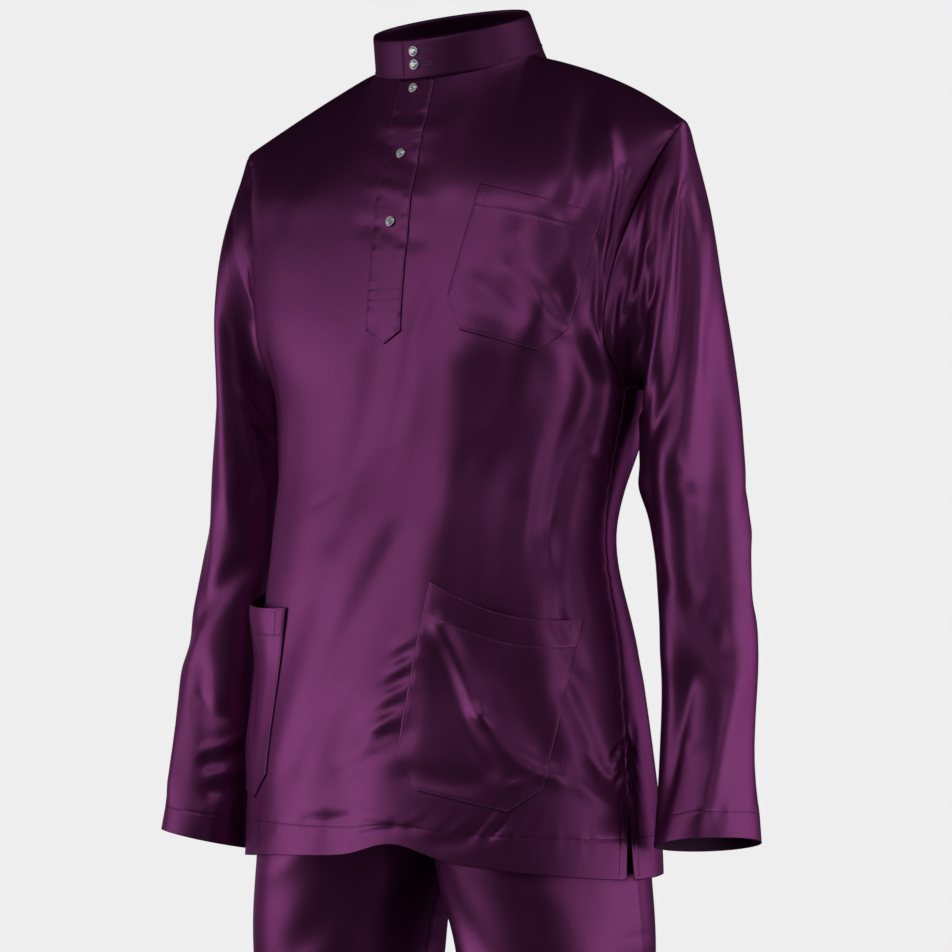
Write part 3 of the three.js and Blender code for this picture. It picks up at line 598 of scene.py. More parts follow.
TROUSER_CREASES = table(
    FOLD_COLUMNS,
    (8, -716, 34, -840, 17, -2.2, 4),
    (46, -720, 100, -790, 14, -2, 4),
    (30, -742, 84, -806, 13, 1.9, 4),
    (90, -704, 140, -730, 13, 1.7, 4),
    (60, -800, 110, -850, 17, 1.4, 4),
    (34, -960, 130, -990, 17, 1.9, 4),
    (50, -1000, 150, -1016, 14, -1.7, 4),
    (40, -1046, 120, -1040, 17, 1.7, 4),
    (150, -880, 120, -980, 18, 1.7, 4),
    (70, -1080, 80, -1300, 22, 2, 4),
    (130, -1100, 126, -1340, 22, -1.7, 4),
    (40, -1330, 150, -1362, 14, 1.7, 4),
    (60, -1386, 140, -1394, 13, -1.4, 4),
)

# Puckers: short ripples square to a seam, uneven along it and gone a few millimetres from it


def ripples(along):
    """A sum of three sine waves of 9, 14 and 23 mm, made stronger and weaker by a 90 mm one."""
    waves = np.sin(TURN * along / 9 + 1) + np.sin(TURN * along / 14) + np.sin(TURN * along / 23 + 2)
    return waves * (0.6 + 0.4 * np.sin(TURN * along / 90))


def seam_dip(distance):
    """How deep the cloth is drawn in at a distance from a seam, in mm."""
    return 0.7 * bell(distance, 1.6) + 0.2 * bell(distance, 6)


def stitch_dip(distance):
    """The groove that a row of stitches presses in on both of its sides."""
    return 0.35 * bell(distance, 1.3)


def body_creases(front, t, angle, level):
    """Creases, puckers along the armholes, side seams and hem, and the seams' own grooves."""
    push = fold_push(FRONT_CREASES if front else BACK_CREASES, BODY_SCALE, angle, level)
    from_side = (1 - np.abs(t)) * HALF_ROUND
    hole = 0.35 * ripples(level) * bell(from_side - 5, 7) * smoothstep(level, ARMPIT_LEVEL, -250)
    side = 0.45 * ripples(level + 40) * bell(from_side - 5, 9)
    slit = 1.7 * bell(level - SLIT_PULL_LEVEL, 32) * bell(from_side - 10, 14)
    slit = slit * ripples(level + 0.8 * from_side)
    push = push * smoothstep(from_side, 0, 12) + np.where(level > ARMPIT_LEVEL, hole, side + slit)
    sewn = (level > SLIT_TOP).astype(float)
    push += seam_dip(from_side) * sewn
    push += stitch_dip(from_side - SLIT_TURN) * (1 - sewn)
    on_shoulder = smoothstep(np.abs(t), NECK_SHARE, NECK_SHARE + 0.04)
    push += seam_dip(TOP_LEVEL - level) * on_shoulder
    hem = level - HEM_LEVEL
    push += 0.6 * stitch_dip(hem - HEM_TURN)
    push += 0.3 * ripples(HALF_ROUND * t + 30) * bell(hem - HEM_TURN, 9)
    if front:
        above = hem - HEM_PULL_RISE
        slanted = HALF_ROUND * (t - 0.5) - 0.9 * above
        push += 1.7 * ripples(slanted) * bell(angle - HEM_PULL_ANGLE, 13) * bell(above, 10)
        push += pocket_puckers(angle, level)
    return push


def pocket_puckers(angle, level):
    """Deep short folds where the lower left pocket's inner edge draws the front up. That edge
    goes from 26 degrees at level -500 to 21 at -610."""
    across = (angle - blend(26, 21, (level + 500) / -110)) * BODY_SCALE
    wave = np.sin(TURN * (level - 0.45 * across) / 24 + 0.6) * smoothstep(-level, 496, 530)
    return 2.2 * wave * bell(across + 8, 9) * (1 - smoothstep(-level, 596, 616))


def sleeve_creases(side, angle, along):
    """Creases, puckers at the cap and cuff, and the grooves of the armhole, underarm and cuff."""
    folds = LEFT_SLEEVE_CREASES if side > 0 else RIGHT_SLEEVE_CREASES
    start, end = sleeve_ends(side)
    push = sum(fold_push(folds, SLEEVE_SCALE, angle + turn, -along) for turn in (0, -360, 360))
    push = push * smoothstep(along, start, start + 12)
    around = angle * SLEEVE_SCALE
    push += 0.35 * ripples(1.6 * around) * bell(along - start - 6, 9)
    push += seam_dip(along - start)
    from_seam = np.minimum(angle, 360 - angle) * SLEEVE_SCALE
    push += 0.8 * bell(from_seam, 1.6) + 0.25 * ripples(along) * bell(from_seam - 4, 8)
    cuff = end - along
    push += 0.6 * stitch_dip(cuff - HEM_TURN)
    return push + 0.3 * ripples(around) * bell(cuff - HEM_TURN, 8)


# Collar


def collar(angle, height, offset):
    """Places on the collar: an ellipse that shrinks, moves forward and keeps the neck's slope."""
    share = height / COLLAR_HEIGHT
    width = blend(NECK_HALF_WIDTH, COLLAR_TOP_HALF_WIDTH, share) + offset
    depth = blend(NECK_HALF_DEPTH, COLLAR_TOP_HALF_DEPTH, share) + offset
    swing = np.radians(angle)
    y = -depth * np.cos(swing) - COLLAR_TOP_FORWARD * share
    return np.stack(np.broadcast_arrays(width * np.sin(swing), y, NECK_RISE * y + height), -1)


def collar_offset(angle):
    """How far the strip stands out: its over end laps the under end."""
    return COLLAR_OVER * smoothstep(-angle, *COLLAR_RISE)


def collar_wave(angle, height):
    """Soft waves of up to 1 mm in the collar's band, stronger toward its upper edge."""
    swing = np.radians(angle)
    wave = 0.6 * np.sin(3 * swing + 0.6) + 0.2 * np.sin(7 * swing + 0.3 * height / 6)
    return wave * height / COLLAR_HEIGHT


# Patches: pockets and placket, drawn flat and carried on the front


def front_places(u, v, middle, heading, tilt):
    """The places t and level whose bare cloth lies behind a flat drawing's points u and v, in mm.

    The drawing is upright, faces `heading` degrees from the front and is turned by `tilt`. The
    places are found by Newton's method, from rates taken over small steps.
    """
    turn, face = np.radians(tilt), np.radians(heading)
    wanted = u * np.cos(turn) - v * np.sin(turn), u * np.sin(turn) + v * np.cos(turn)
    half_depth, step_t, step_level, rounds = 110, 0.004, 1, 10

    def miss(t, level):
        away = bare_body(True, t, level) - middle
        beside = away[:, 0] * np.cos(face) + away[:, 1] * np.sin(face)
        return np.stack([beside - wanted[0], away[:, 2] - wanted[1]])

    t = wanted[0] / HALF_ROUND + np.degrees(np.arctan2(middle[0], half_depth - middle[1])) / 90
    level = np.clip(middle[2] + wanted[1], HEM_LEVEL, TOP_LEVEL)
    for _ in range(rounds):
        now = miss(t, level)
        by_t = (miss(t + step_t, level) - now) / step_t
        by_level = (miss(t, level + step_level) - now) / step_level
        area = by_t[0] * by_level[1] - by_t[1] * by_level[0]
        t = np.clip(t - (now[0] * by_level[1] - now[1] * by_level[0]) / area, -1, 1)
        level = level - (by_t[0] * now[1] - by_t[1] * now[0]) / area
        level = np.clip(level, HEM_LEVEL, TOP_LEVEL)
    return t, level


def patch(u, v, pose, lift):
    """Points and normals of a drawing's places u and v, carried on the front and lifted."""
    shape, u, v, lift = spread(u, v, lift)
    t, level = front_places(u, v, *pose)
    points, normals = body(True, t, level, lift)
    return points.reshape(*shape, 3), normals.reshape(*shape, 3)


def pocket_pose(pocket):
    """A pocket's middle on the bare cloth and the way that it faces there."""
    angle = pocket["angle"] + np.array([-1, 0, 1])
    west, middle, east = bare_body(True, angle / 90, np.full(3, float(pocket["level"])))
    heading = np.degrees(np.arctan2(east[1] - west[1], east[0] - west[0]))
    return middle, heading, pocket["tilt"]


def pocket_drawing(pocket, a, b):
    """The flat place of a (-1 to 1 across) and b (0 at the bottom to 1 at the mouth): a rectangle
    with its lower corners cut off, whose mouth sags by a parabola."""
    tall = pocket["height"] / 2
    v = blend(-tall, tall, b)
    missing = 1 - np.clip((v + tall) / pocket["corner_height"], 0, 1)
    u = a * (pocket["width"] / 2 - pocket["corner_width"] * missing)
    sag = pocket["sag"] * (1 - (a - pocket["sag_at"]) ** 2 / (1 + abs(pocket["sag_at"])) ** 2)
    return u, v - sag * smoothstep(b, 0.35, 1)


def pocket_lift(pocket, a, b):
    """A patch stands off the cloth but for its sewn edges, and its mouth gapes."""
    side = (1 - np.abs(a)) * pocket["width"] / 2
    bottom = b * pocket["height"]
    edge = np.minimum(side, bottom)
    mouth = (1 - b) * pocket["height"]
    lift = LIFT - 0.5 * bell(edge, 0.8) - 0.5 * stitch_dip(edge - EDGE_STITCH)
    lift = lift + 0.8 * smoothstep(edge, 4, 22)
    band = pocket["band"]
    lift = lift - 0.6 * stitch_dip(mouth - band) + 0.4 * bell(mouth - band / 2, 9)
    return lift + pocket["gape"] * smoothstep(b, 0.6, 1) * (1 - a**2) ** 0.8


def placket_drawing(a, b):
    """A strip with a pointed lower end."""
    bottom = PLACKET_END - PLACKET_POINT * (1 - np.abs(a))
    return a * PLACKET_WIDTH / 2, blend(bottom, PLACKET_TOP, b)


def placket_lift(a, b):
    """The strip stands off the cloth but for its sewn edges, and dips at its two cross rows."""
    v = placket_drawing(a, b)[1]
    edge = (1 - np.abs(a)) * PLACKET_WIDTH / 2
    lift = LIFT - 0.5 * bell(edge, 0.8) - 0.5 * stitch_dip(edge - EDGE_STITCH)
    for row in PLACKET_ROWS:
        lift = lift - 0.5 * stitch_dip(v - row)
    return lift + 0.25 * ripples(v) * bell(edge - 3, 6)


# Trousers


def bare_trouser(side, front, s, level):
    """A leg's half: an ellipse's part from the side seam (s = 0) to the middle or inner seam.

    Its sweep goes from a quarter turn above the rise to half a turn at the crotch and below.
    """
    columns = [TROUSER_ROWS[name] for name in ("outer", "inner", "front_y", "back_y", "middle_y")]
    rows = np.repeat(np.stack(columns, -1)[:, None], len(level), 1)
    outer, inner, front_y, back_y, middle_y = smooth(TROUSER_ROWS["level"], rows, level).T
    parting = np.maximum(inner, LEG_PARTING * (CROTCH - level))
    inner = np.where(level >= CROTCH, 0, parting)
    down = np.clip((RISE_TOP - level) / (RISE_TOP - CROTCH), 0, 1)
    sweep = np.pi / 2 + np.arcsin(down)
    half = (outer - inner) / (1 - np.cos(sweep))
    x = outer - half + half * np.cos(s * sweep)
    depth = (front_y if front else back_y) - middle_y
    return np.stack([side * np.maximum(x, 0), middle_y + depth * np.sin(s * sweep), level], -1)


def trouser(side, front, s, level, lift=0):
    """The creased trouser panel's outer side and its normals."""
    shape, s, level = spread(s, level)
    step = 0.01
    east = bare_trouser(side, front, np.minimum(s + step, 1), level)
    around = east - bare_trouser(side, front, np.maximum(s - step, 0), level)
    normal = unit(np.cross(around, [0, 0, 1])) * side * (1 if front else -1)
    points = bare_trouser(side, front, s, level)
    x = np.abs(points[:, 0])
    push = fold_push(TROUSER_CREASES, 1, x if front else x + 14, level + (0 if front else 26))
    push = push * np.sin(np.pi * s) ** 0.6 * smoothstep(-level, 640, 700)
    from_seam = np.minimum(s, 1 - s) * TROUSER_PANEL_WIDTH
    push += seam_dip(from_seam) + 0.3 * ripples(level) * bell(from_seam - 4, 9)
    push += stitch_dip(level - TROUSER_HEM - TROUSER_HEM_TURN)
    points = points + normal * (lift - push)[:, None]
    points[:, 0] = side * np.maximum(side * points[:, 0], 0)
    return points.reshape(*shape, 3), normal.reshape(*shape, 3)


# Meshes

# Pitches of the grids in mm, across and along where they differ
FRONT_PITCH = 4.4
BACK_PITCH = 5.0
SLEEVE_PITCH = (4.0, 4.4)
PLACKET_PITCH = (2.2, 3)
POCKET_PITCH = 3.4
TROUSER_PITCH = (4.2, 5.2)
CLOSE_STEPS = [-3.8, -2.4, -1.4, -0.7, 0, 0.7, 1.4, 2.4, 3.8]


def stations(start, end, pitch, *fine):
    """Places from start to end at about an even pitch, with close ones round each fine place."""
    even = np.linspace(start, end, round((end - start) / pitch) + 1)
    close = np.array(fine, float)[:, None] + CLOSE_STEPS
    close = close[(close >= start) & (close <= end)]
    apart = np.abs(even[:, None] - close[None, :]).min(axis=1)
    return np.unique(np.concatenate([even[apart > 0.3 * pitch], close, [start, end]]))


def run_lengths(points):
    """Distances along a line of points from its start."""
    steps = np.linalg.norm(np.diff(points, axis=0), axis=1)
    return np.concatenate([[0], np.cumsum(steps)])


def add_object(name, points, faces, materials, face_uv=None):
    """A mesh object at the origin from points in mm and faces, with its pattern map in metres."""
    mesh = bpy.data.meshes.new(name)
    mesh.from_pydata((points.reshape(-1, 3) * MM).tolist(), [], faces)
    if face_uv is not None:
        mesh.uv_layers.new(name="cloth").data.foreach_set("uv", (face_uv * MM).ravel())
    mesh.polygons.foreach_set("use_smooth", [True] * len(mesh.polygons))
    for material in materials:
        mesh.materials.append(material)
    mesh.update()
    thing = bpy.data.objects.new(name, mesh)
    bpy.context.collection.objects.link(thing)
    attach(thing, "root")
    return thing


def grid_faces(across, along, outward, closed):
    """Corners (face, 4) of a grid's quads as numbers along both of its directions."""
    i, j = np.meshgrid(np.arange(across - 1 + closed), np.arange(along - 1), indexing="ij")
    corner_i = i.ravel()[:, None] + [0, 1, 1, 0]
    corner_j = j.ravel()[:, None] + [0, 0, 1, 1]
    return corner_i[:, ::outward], corner_j[:, ::outward]


def cloth_map(line_across, line_along, corner_i, corner_j):
    """The pattern map of each face's corners: distances along the cloth in both directions."""
    u = run_lengths(np.concatenate([line_across, line_across[:1]]))
    return np.stack([u[corner_i], run_lengths(line_along)[corner_j]], -1).reshape(-1, 2)


def add_piece(name, points, faces, materials, face_uv):
    """The visible mesh of one cut piece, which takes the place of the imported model's node."""
    thing = add_object(name + "_cloth", points, faces, materials, face_uv)
    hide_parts(name)
    panels[name] = thing


def add_cloth(name, points, outward, closed=False, gap=None, wall=CLOTH_WALL):
    """A thin wall of satin, its dull side inward, from a grid of points on its outer side.

    `outward` is 1 where across x along points outward. `gap` marks the quads that are left out.
    """
    across, along = points.shape[:2]
    corner_i, corner_j = grid_faces(across, along, outward, closed)
    if gap is not None:
        kept = ~gap[corner_i.min(axis=1), corner_j.min(axis=1)]
        corner_i, corner_j = corner_i[kept], corner_j[kept]
    face_uv = cloth_map(points[:, along // 2], points[across // 2], corner_i, corner_j)
    faces = ((corner_i % across) * along + corner_j).tolist()
    add_piece(name, points, faces, [SATIN, SATIN_BACK], face_uv)
    solid = panels[name].modifiers.new("wall", "SOLIDIFY")
    solid.thickness = wall * MM
    solid.offset = -1
    solid.use_even_offset = True
    solid.material_offset = 1


def add_band(name, sections, outward, closed, material):
    """A wall from closed sections carried along a path, with capped ends where it is open.

    `sections` is a grid: [section, place round it], and `outward` 1 or -1 turns its faces out.
    """
    across, along = sections.shape[:2]
    ring = np.concatenate([sections, sections[:, :1]], 1)
    corner_i, corner_j = grid_faces(across, along + 1, outward, closed)
    face_uv = cloth_map(ring[:, 0], ring[across // 2], corner_i, corner_j)
    faces = ((corner_i % across) * along + corner_j % along).tolist()
    if not closed:
        last_section = (across - 1) * along + np.arange(along)
        faces += [np.arange(along)[::outward].tolist(), last_section[::-outward].tolist()]
        face_uv = np.concatenate([face_uv, np.zeros((2 * along, 2))])
    add_piece(name, sections, faces, [material], face_uv)


def rounded_section(height, wall):
    """Round a band's section: (height, depth inward) of a rectangle with round upper edges."""
    count = 14
    rise = np.concatenate([np.linspace(0, 1, count), np.linspace(1, 0, count)[1:]])
    outer_side = np.arange(len(rise)) < count
    r = wall / 2
    cap = np.clip((rise * height - (height - r)) / r, 0, 1)
    inset = r * (1 - np.sqrt(np.clip(1 - cap**2, 0, 1)))
    return rise * height, np.where(outer_side, inset, wall - inset)


# Stitches: lens-shaped threads along a line on the cloth


def stitch_row(points, normals, pitch=3.2, length=2.3, half_width=0.34, rise=0.2):
    """Stitches along a line: each has two end points and two square rings between them."""
    reach = run_lengths(points)
    starts = np.arange(0.5 * (pitch - length), reach[-1] - length, pitch)
    at = starts[:, None] + np.array([0, 0.25, 0.75, 1]) * length
    place, up = (
        np.stack([np.interp(at, reach, column) for column in line.T], -1)
        for line in (points, normals)
    )
    up = unit(up)
    ahead = np.broadcast_to(unit(place[:, 3:] - place[:, :1]), up.shape)
    aside = unit(np.cross(ahead, up))
    middle = place + up * np.array([-0.1, rise, rise, -0.1])[:, None]
    corners = [x * aside + z * up for x, z in ((1, 0), (0, 1), (-1, 0), (0, -1))]
    rings = middle[:, 1:3, None] + half_width * np.stack(corners, 2)[:, 1:3]
    return np.concatenate([middle[:, :1], rings.reshape(len(at), 8, 3), middle[:, 3:]], 1)


STITCH_QUADS = [(1 + k, 5 + k, 5 + (k + 1) % 4, 1 + (k + 1) % 4) for k in range(4)]
STITCH_ENDS = [(0, 1 + k, 1 + (k + 1) % 4) for k in range(4)]
STITCH_ENDS += [(9, 5 + (k + 1) % 4, 5 + k) for k in range(4)]


def add_stitches(name, rows, thread):
    """One mesh of many stitches. `rows` holds (points, normals) along each line."""
    stitches = np.concatenate([stitch_row(*row) for row in rows])
    first = np.arange(len(stitches))[:, None, None] * stitches.shape[1]
    quads = (first + np.array(STITCH_QUADS)).reshape(-1, 4).tolist()
    ends = (first + np.array(STITCH_ENDS)).reshape(-1, 3).tolist()
    thing = add_object(name, stitches, quads + ends, [thread])


# Materials


def linear(hex_colour):
    """A linear colour from an sRGB hex value such as 5b2a63."""
    parts = np.array([int(hex_colour[k : k + 2], 16) / 255 for k in (0, 2, 4)])
    parts = np.where(parts <= 0.04045, parts / 12.92, ((parts + 0.055) / 1.055) ** 2.4)
    return (*parts.tolist(), 1)


def set_inputs(node, inputs):
    """A node's inputs set to values or linked to other nodes' outputs."""
    for name, value in inputs.items():
        if isinstance(value, bpy.types.NodeSocket):
            node.id_data.links.new(value, node.inputs[name])
        else:
            node.inputs[name].default_value = value


def add_node(tree, kind, inputs, output=0, **settings):
    """One output of a new node of the given kind, with its inputs and settings."""
    node = tree.nodes.new("ShaderNode" + kind)
    for name, value in settings.items():
        setattr(node, name, value)
    set_inputs(node, inputs)
    return node.outputs[output]


def new_material(name, settings):
    """A material with one Principled BSDF whose sockets are set, and its tree and shader."""
    material = bpy.data.materials.new(name)
    material.use_nodes = True
    shader = material.node_tree.nodes["Principled BSDF"]
    set_inputs(shader, settings)
    return material, material.node_tree, shader


def tones(tree, share, first, second):
    """A colour between two sRGB hex values: 6 and 7 are the Mix node's colour sockets."""
    colours = {"Factor": share, 6: linear(first), 7: linear(second)}
    return add_node(tree, "Mix", colours, 2, data_type="RGBA")


def satin(name, colour, deep_colour, settings, rough_from, rough_to, bump):
    """Woven satin: long warp floats along the cloth, drawn 1.2 mm apart because the real 0.1 mm
    threads are too fine to show, and soft slubs 6 mm long that vary its gloss and depth."""
    material, tree, shader = new_material(name, settings)
    cloth = add_node(tree, "TexCoord", {}, "UV")
    warp, weft = (
        add_node(tree, "TexNoise", {"Vector": stretched, "Scale": 1, "Detail": 2})
        for stretched in (
            add_node(tree, "Mapping", {"Vector": cloth, "Scale": scale})
            for scale in ((830, 60, 1), (50, 700, 1))
        )
    )
    slubs = {"Vector": cloth, "Scale": 14, "Detail": 3, "Distortion": 0.4}
    soft = add_node(tree, "TexNoise", slubs)
    weave = add_node(tree, "Math", {0: warp, 1: weft}, operation="ADD")
    height = add_node(tree, "Math", {0: soft, 1: 6, 2: weave}, operation="MULTIPLY_ADD")
    relief = {"Height": height, "Strength": bump, "Distance": 0.0004}
    gloss = {"Value": soft, "To Min": rough_from, "To Max": rough_to}
    sockets = {
        "Base Color": tones(tree, weave, deep_colour, colour),
        "Roughness": add_node(tree, "MapRange", gloss),
        "Normal": add_node(tree, "Bump", relief),
    }
    set_inputs(shader, sockets)
    return material


# Polyester satin, dyed deep purple: its long smooth floats mirror soft lights in the dye's own
# colour, broad and bright, and leave the cloth almost black elsewhere
SATIN_LOOK = {"Metallic": 0.85, "Specular Tint": linear("d8a8d0")}
SATIN = satin("satin_face", "7c3a70", "6a2f60", SATIN_LOOK, 0.36, 0.44, 0.2)
# The collar's satin, a little rougher, in darker tones and with a dimmer highlight tint: painted
# shade for the shadow that the wearer's head, which is left out, casts on the collar
SHADED_COLLAR_LOOK = {"Metallic": 0.8, "Specular Tint": linear("a880a0")}
SHADED_COLLAR_SATIN = satin("collar_satin_painted_shade", "5e2c55", "502449", SHADED_COLLAR_LOOK, 0.4, 0.48, 0.2)
# The same cloth's wrong side: short floats that scatter light and look dull
DULL_LOOK = {"IOR": 1.5, "Specular IOR Level": 0.3}
SATIN_BACK = satin("satin_wrong_side", "4a2144", "3a1636", DULL_LOOK, 0.68, 0.8, 0.3)


def thread(name, colour):
    """Spun polyester thread: twisted fibres give a soft broken gloss."""
    material, tree, shader = new_material(name, {"Roughness": 0.5, "IOR": 1.5})
    place = add_node(tree, "TexCoord", {}, "Object")
    fibres = add_node(tree, "TexNoise", {"Vector": place, "Scale": 900})
    set_inputs(shader, {"Base Color": tones(tree, fibres, colour, "3c1c44")})
    return material


THREAD = thread("polyester_thread", "9a68a2")
# A darker copy of the same thread for the hems, cuffs, collar and trouser hems: painted shade for
# the dark grooves that these rows of stitches sit in
SHADED_THREAD = thread("polyester_thread_painted_shade", "4a2450")


def polished(name, colour, deep_colour, roughness, metallic):
    """A bright polished surface, with a faint handling haze that breaks its gloss."""
    material, tree, shader = new_material(name, {"Metallic": metallic})
    place = add_node(tree, "TexCoord", {}, "Object")
    haze = add_node(tree, "TexNoise", {"Vector": place, "Scale": 700, "Detail": 3})
    gloss = {"Value": haze, "To Min": 0.6 * roughness, "To Max": 1.4 * roughness}
    sockets = {
        "Base Color": tones(tree, haze, colour, deep_colour),
        "Roughness": add_node(tree, "MapRange", gloss),
    }
    set_inputs(shader, sockets)
    return material


# Rhodium-plated brass: a cool bright rim, beaded on the real studs and drawn smooth here
SETTING = polished("rhodium_plate", "f0f0f2", "c8c8d0", 0.2, 0.8)
# Cut glass with silver foil behind it: flat facets that flash white
FOILED_STONE = polished("foiled_cut_glass", "ffffff", "f0f0f6", 0.05, 0.4)

# Cut pieces

panels = {}
SIDES = {"left": 1, "right": -1}
BODY_PANELS = {"shirt_front": True, "shirt_back": False}
TROUSER_PANELS = {
    f"trouser_{half}_{word}": (side, half == "front")
    for word, side in SIDES.items()
    for half in ("front", "back")
}


def body_grid(front):
    """Places across and up a body panel, closer near its seams, hem row and slit rows."""
    wide, pitch = HALF_ROUND, FRONT_PITCH if front else BACK_PITCH
    across = stations(-wide, wide, pitch, -wide, SLIT_TURN - wide, wide - SLIT_TURN, wide) / wide
    level = stations(HEM_LEVEL, TOP_LEVEL, pitch, HEM_LEVEL, HEM_LEVEL + HEM_TURN, TOP_LEVEL)
    if front:
        across = np.unique(np.concatenate([across, [-NECK_SLIT, NECK_SLIT]]))
    return across, level


for name, front in BODY_PANELS.items():
    across, level = body_grid(front)
    points, _ = body(front, across[:, None], level[None, :])
    in_slit = (across[:-1] >= -NECK_SLIT) & (across[1:] <= NECK_SLIT) & front
    open_quads = in_slit[:, None] & (level[:-1] > NECK_SLIT_END)
    add_cloth(name, points, 1 if front else -1, gap=open_quads)

for word, side in SIDES.items():
    start, end = sleeve_ends(side)
    around = 360 * SLEEVE_SCALE
    share = stations(0, around, SLEEVE_PITCH[0], 0, around)[:-1] / around
    along = stations(start, end, SLEEVE_PITCH[1], start, end - HEM_TURN, end)
    points, _ = sleeve(side, share[:, None], along[None, :])
    add_cloth("sleeve_" + word, points, -side, closed=True)

# Collar: a strip from its under end round the back to its over end, tucked into the neck seam
COLLAR_TUCK = 1.5
angle = np.linspace(COLLAR_START, COLLAR_END, 260)[:, None]
height, depth = rounded_section(COLLAR_HEIGHT + COLLAR_TUCK, COLLAR_WALL)
height = height[None, :] - COLLAR_TUCK
offset = collar_offset(angle) + collar_wave(angle, np.maximum(height, 0)) - depth[None, :]
# The collar's satin is darkened: painted shade for the shadow of the left-out head
add_band("collar", collar(angle, height, offset), -1, False, SHADED_COLLAR_SATIN)

# Placket and pockets
PLACKET_POSE = (np.array([0, -NECK_HALF_DEPTH, 0]), 0, 0)
PLACKET_LENGTH = PLACKET_TOP - PLACKET_END


def on_placket(a, b):
    """Points and normals of the placket's outer side."""
    return patch(*placket_drawing(a, b), PLACKET_POSE, placket_lift(a, b))


def on_pocket(pocket, a, b):
    """Points and normals of a pocket's outer side."""
    return patch(*pocket_drawing(pocket, a, b), pocket_pose(pocket), pocket_lift(pocket, a, b))


def edged_stations(half, pitch):
    """Places from -1 to 1 across a patch, closer near its edges and their stitches."""
    stitched = half - EDGE_STITCH
    return stations(-half, half, pitch, -half, -stitched, stitched, half)[:, None] / half


placket_rows = [row - PLACKET_END for row in PLACKET_ROWS]
a = edged_stations(PLACKET_WIDTH / 2, PLACKET_PITCH[0])
b = stations(0, PLACKET_LENGTH, PLACKET_PITCH[1], 0, EDGE_STITCH, *placket_rows)
add_cloth("placket", on_placket(a, b[None, :] / PLACKET_LENGTH)[0], 1)

for name, pocket in POCKETS.items():
    tall = pocket["height"]
    a = edged_stations(pocket["width"] / 2, POCKET_PITCH)
    b = stations(0, tall, POCKET_PITCH, 0, EDGE_STITCH, tall - pocket["band"], tall)
    add_cloth(name, on_pocket(pocket, a, b[None, :] / tall)[0], 1)

# Trousers
TROUSER_HEM_ROW = TROUSER_HEM + TROUSER_HEM_TURN
wide = TROUSER_PANEL_WIDTH
fine = TROUSER_HEM, TROUSER_HEM_ROW, TROUSER_TOP
s = stations(0, wide, TROUSER_PITCH[0], 0, wide)[:, None] / wide
level = stations(TROUSER_HEM, TROUSER_TOP, TROUSER_PITCH[1], *fine)
for name, (side, front) in TROUSER_PANELS.items():
    points, _ = trouser(side, front, s, level[None, :])
    add_cloth(name, points, -side if front else side, wall=TROUSER_WALL)

# Waistband: one ring of the trousers' four upper edges, from the wearer's left round the back
s = np.linspace(0, 1, 40, endpoint=False)
quarters = (1, False, s), (-1, False, 1 - s), (-1, True, s), (1, True, 1 - s)
top = np.full(len(s), float(TROUSER_TOP))
ring = np.concatenate([bare_trouser(*quarter, top) for quarter in quarters])
normal = unit(np.cross(np.roll(ring, -1, 0) - np.roll(ring, 1, 0), [0, 0, 1]))
height, depth = rounded_section(WAISTBAND_HEIGHT, WAISTBAND_WALL)
sections = ring[:, None] - normal[:, None] * depth[None, :, None]
sections[..., 2] += height[None, :]
add_band("trouser_waistband", sections, 1, True, SATIN)

# Sewing

LINE = np.linspace(0, 1, 400)
SLIT_EDGE = 1 - SLIT_TURN / HALF_ROUND
SLIT_CORNER = SLIT_TOP + 6

for name, front in BODY_PANELS.items():
    reach = 1 - SEAM_MARGIN / HALF_ROUND
    rows = [body(front, blend(-reach, reach, LINE), HEM_LEVEL + HEM_TURN)]
    corner = blend(SLIT_EDGE, 1 - EDGE_STITCH / HALF_ROUND, LINE)
    for side in (-1, 1):
        up = blend(HEM_LEVEL + EDGE_STITCH, SLIT_CORNER, LINE)
        rows.append(body(front, side * SLIT_EDGE, up))
        rows.append(body(front, side * corner, SLIT_CORNER))
    add_stitches(name + "_stitches", rows, SHADED_THREAD)

for word, side in SIDES.items():
    cuff_row = sleeve(side, 0.9999 * LINE, CUFF_LEVEL[side] - HEM_TURN)
    add_stitches(f"sleeve_{word}_stitches", [cuff_row], SHADED_THREAD)

for name, pocket in POCKETS.items():
    half, tall = pocket["width"] / 2, pocket["height"]
    reach, low = 1 - EDGE_STITCH / half, EDGE_STITCH / tall
    band = 1 - pocket["band"] / tall
    across, up = blend(-reach, reach, LINE), blend(low, 1, LINE)
    rows = [(-reach, up), (reach, up), (across, low), (across, band)]
    for side in (-reach, reach):
        inner = side * (1 - POCKET_TACK / half)
        rows += [(inner, blend(band, 1 - low, LINE)), (blend(inner, side, LINE), 1 - low)]
    add_stitches(name + "_stitches", [on_pocket(pocket, *row) for row in rows], THREAD)

edge, low = 1 - EDGE_STITCH / (PLACKET_WIDTH / 2), EDGE_STITCH / PLACKET_LENGTH
across, up = blend(-edge, edge, LINE), blend(low, 1, LINE)
bottom = placket_drawing(across, 0)[1]
rows = [(-edge, up), (edge, up), (across, low)]
rows += [(across, (row - bottom) / (PLACKET_TOP - bottom)) for row in PLACKET_ROWS]
add_stitches("placket_stitches", [on_placket(*row) for row in rows], THREAD)


def on_collar(angle, height, lift=0.05):
    """A line on the collar's outer side and its normals."""
    offset = collar_offset(angle) + collar_wave(angle, height)
    points = collar(angle, height, offset + lift)
    return points, unit(points - collar(angle, height, offset - 1))


over_end = COLLAR_END + 1.6
collar_rows = [
    on_collar(blend(COLLAR_START - 20, over_end, LINE), EDGE_STITCH),
    on_collar(over_end, blend(EDGE_STITCH, COLLAR_HEIGHT - EDGE_STITCH, LINE)),
]
add_stitches("collar_stitches", collar_rows, SHADED_THREAD)

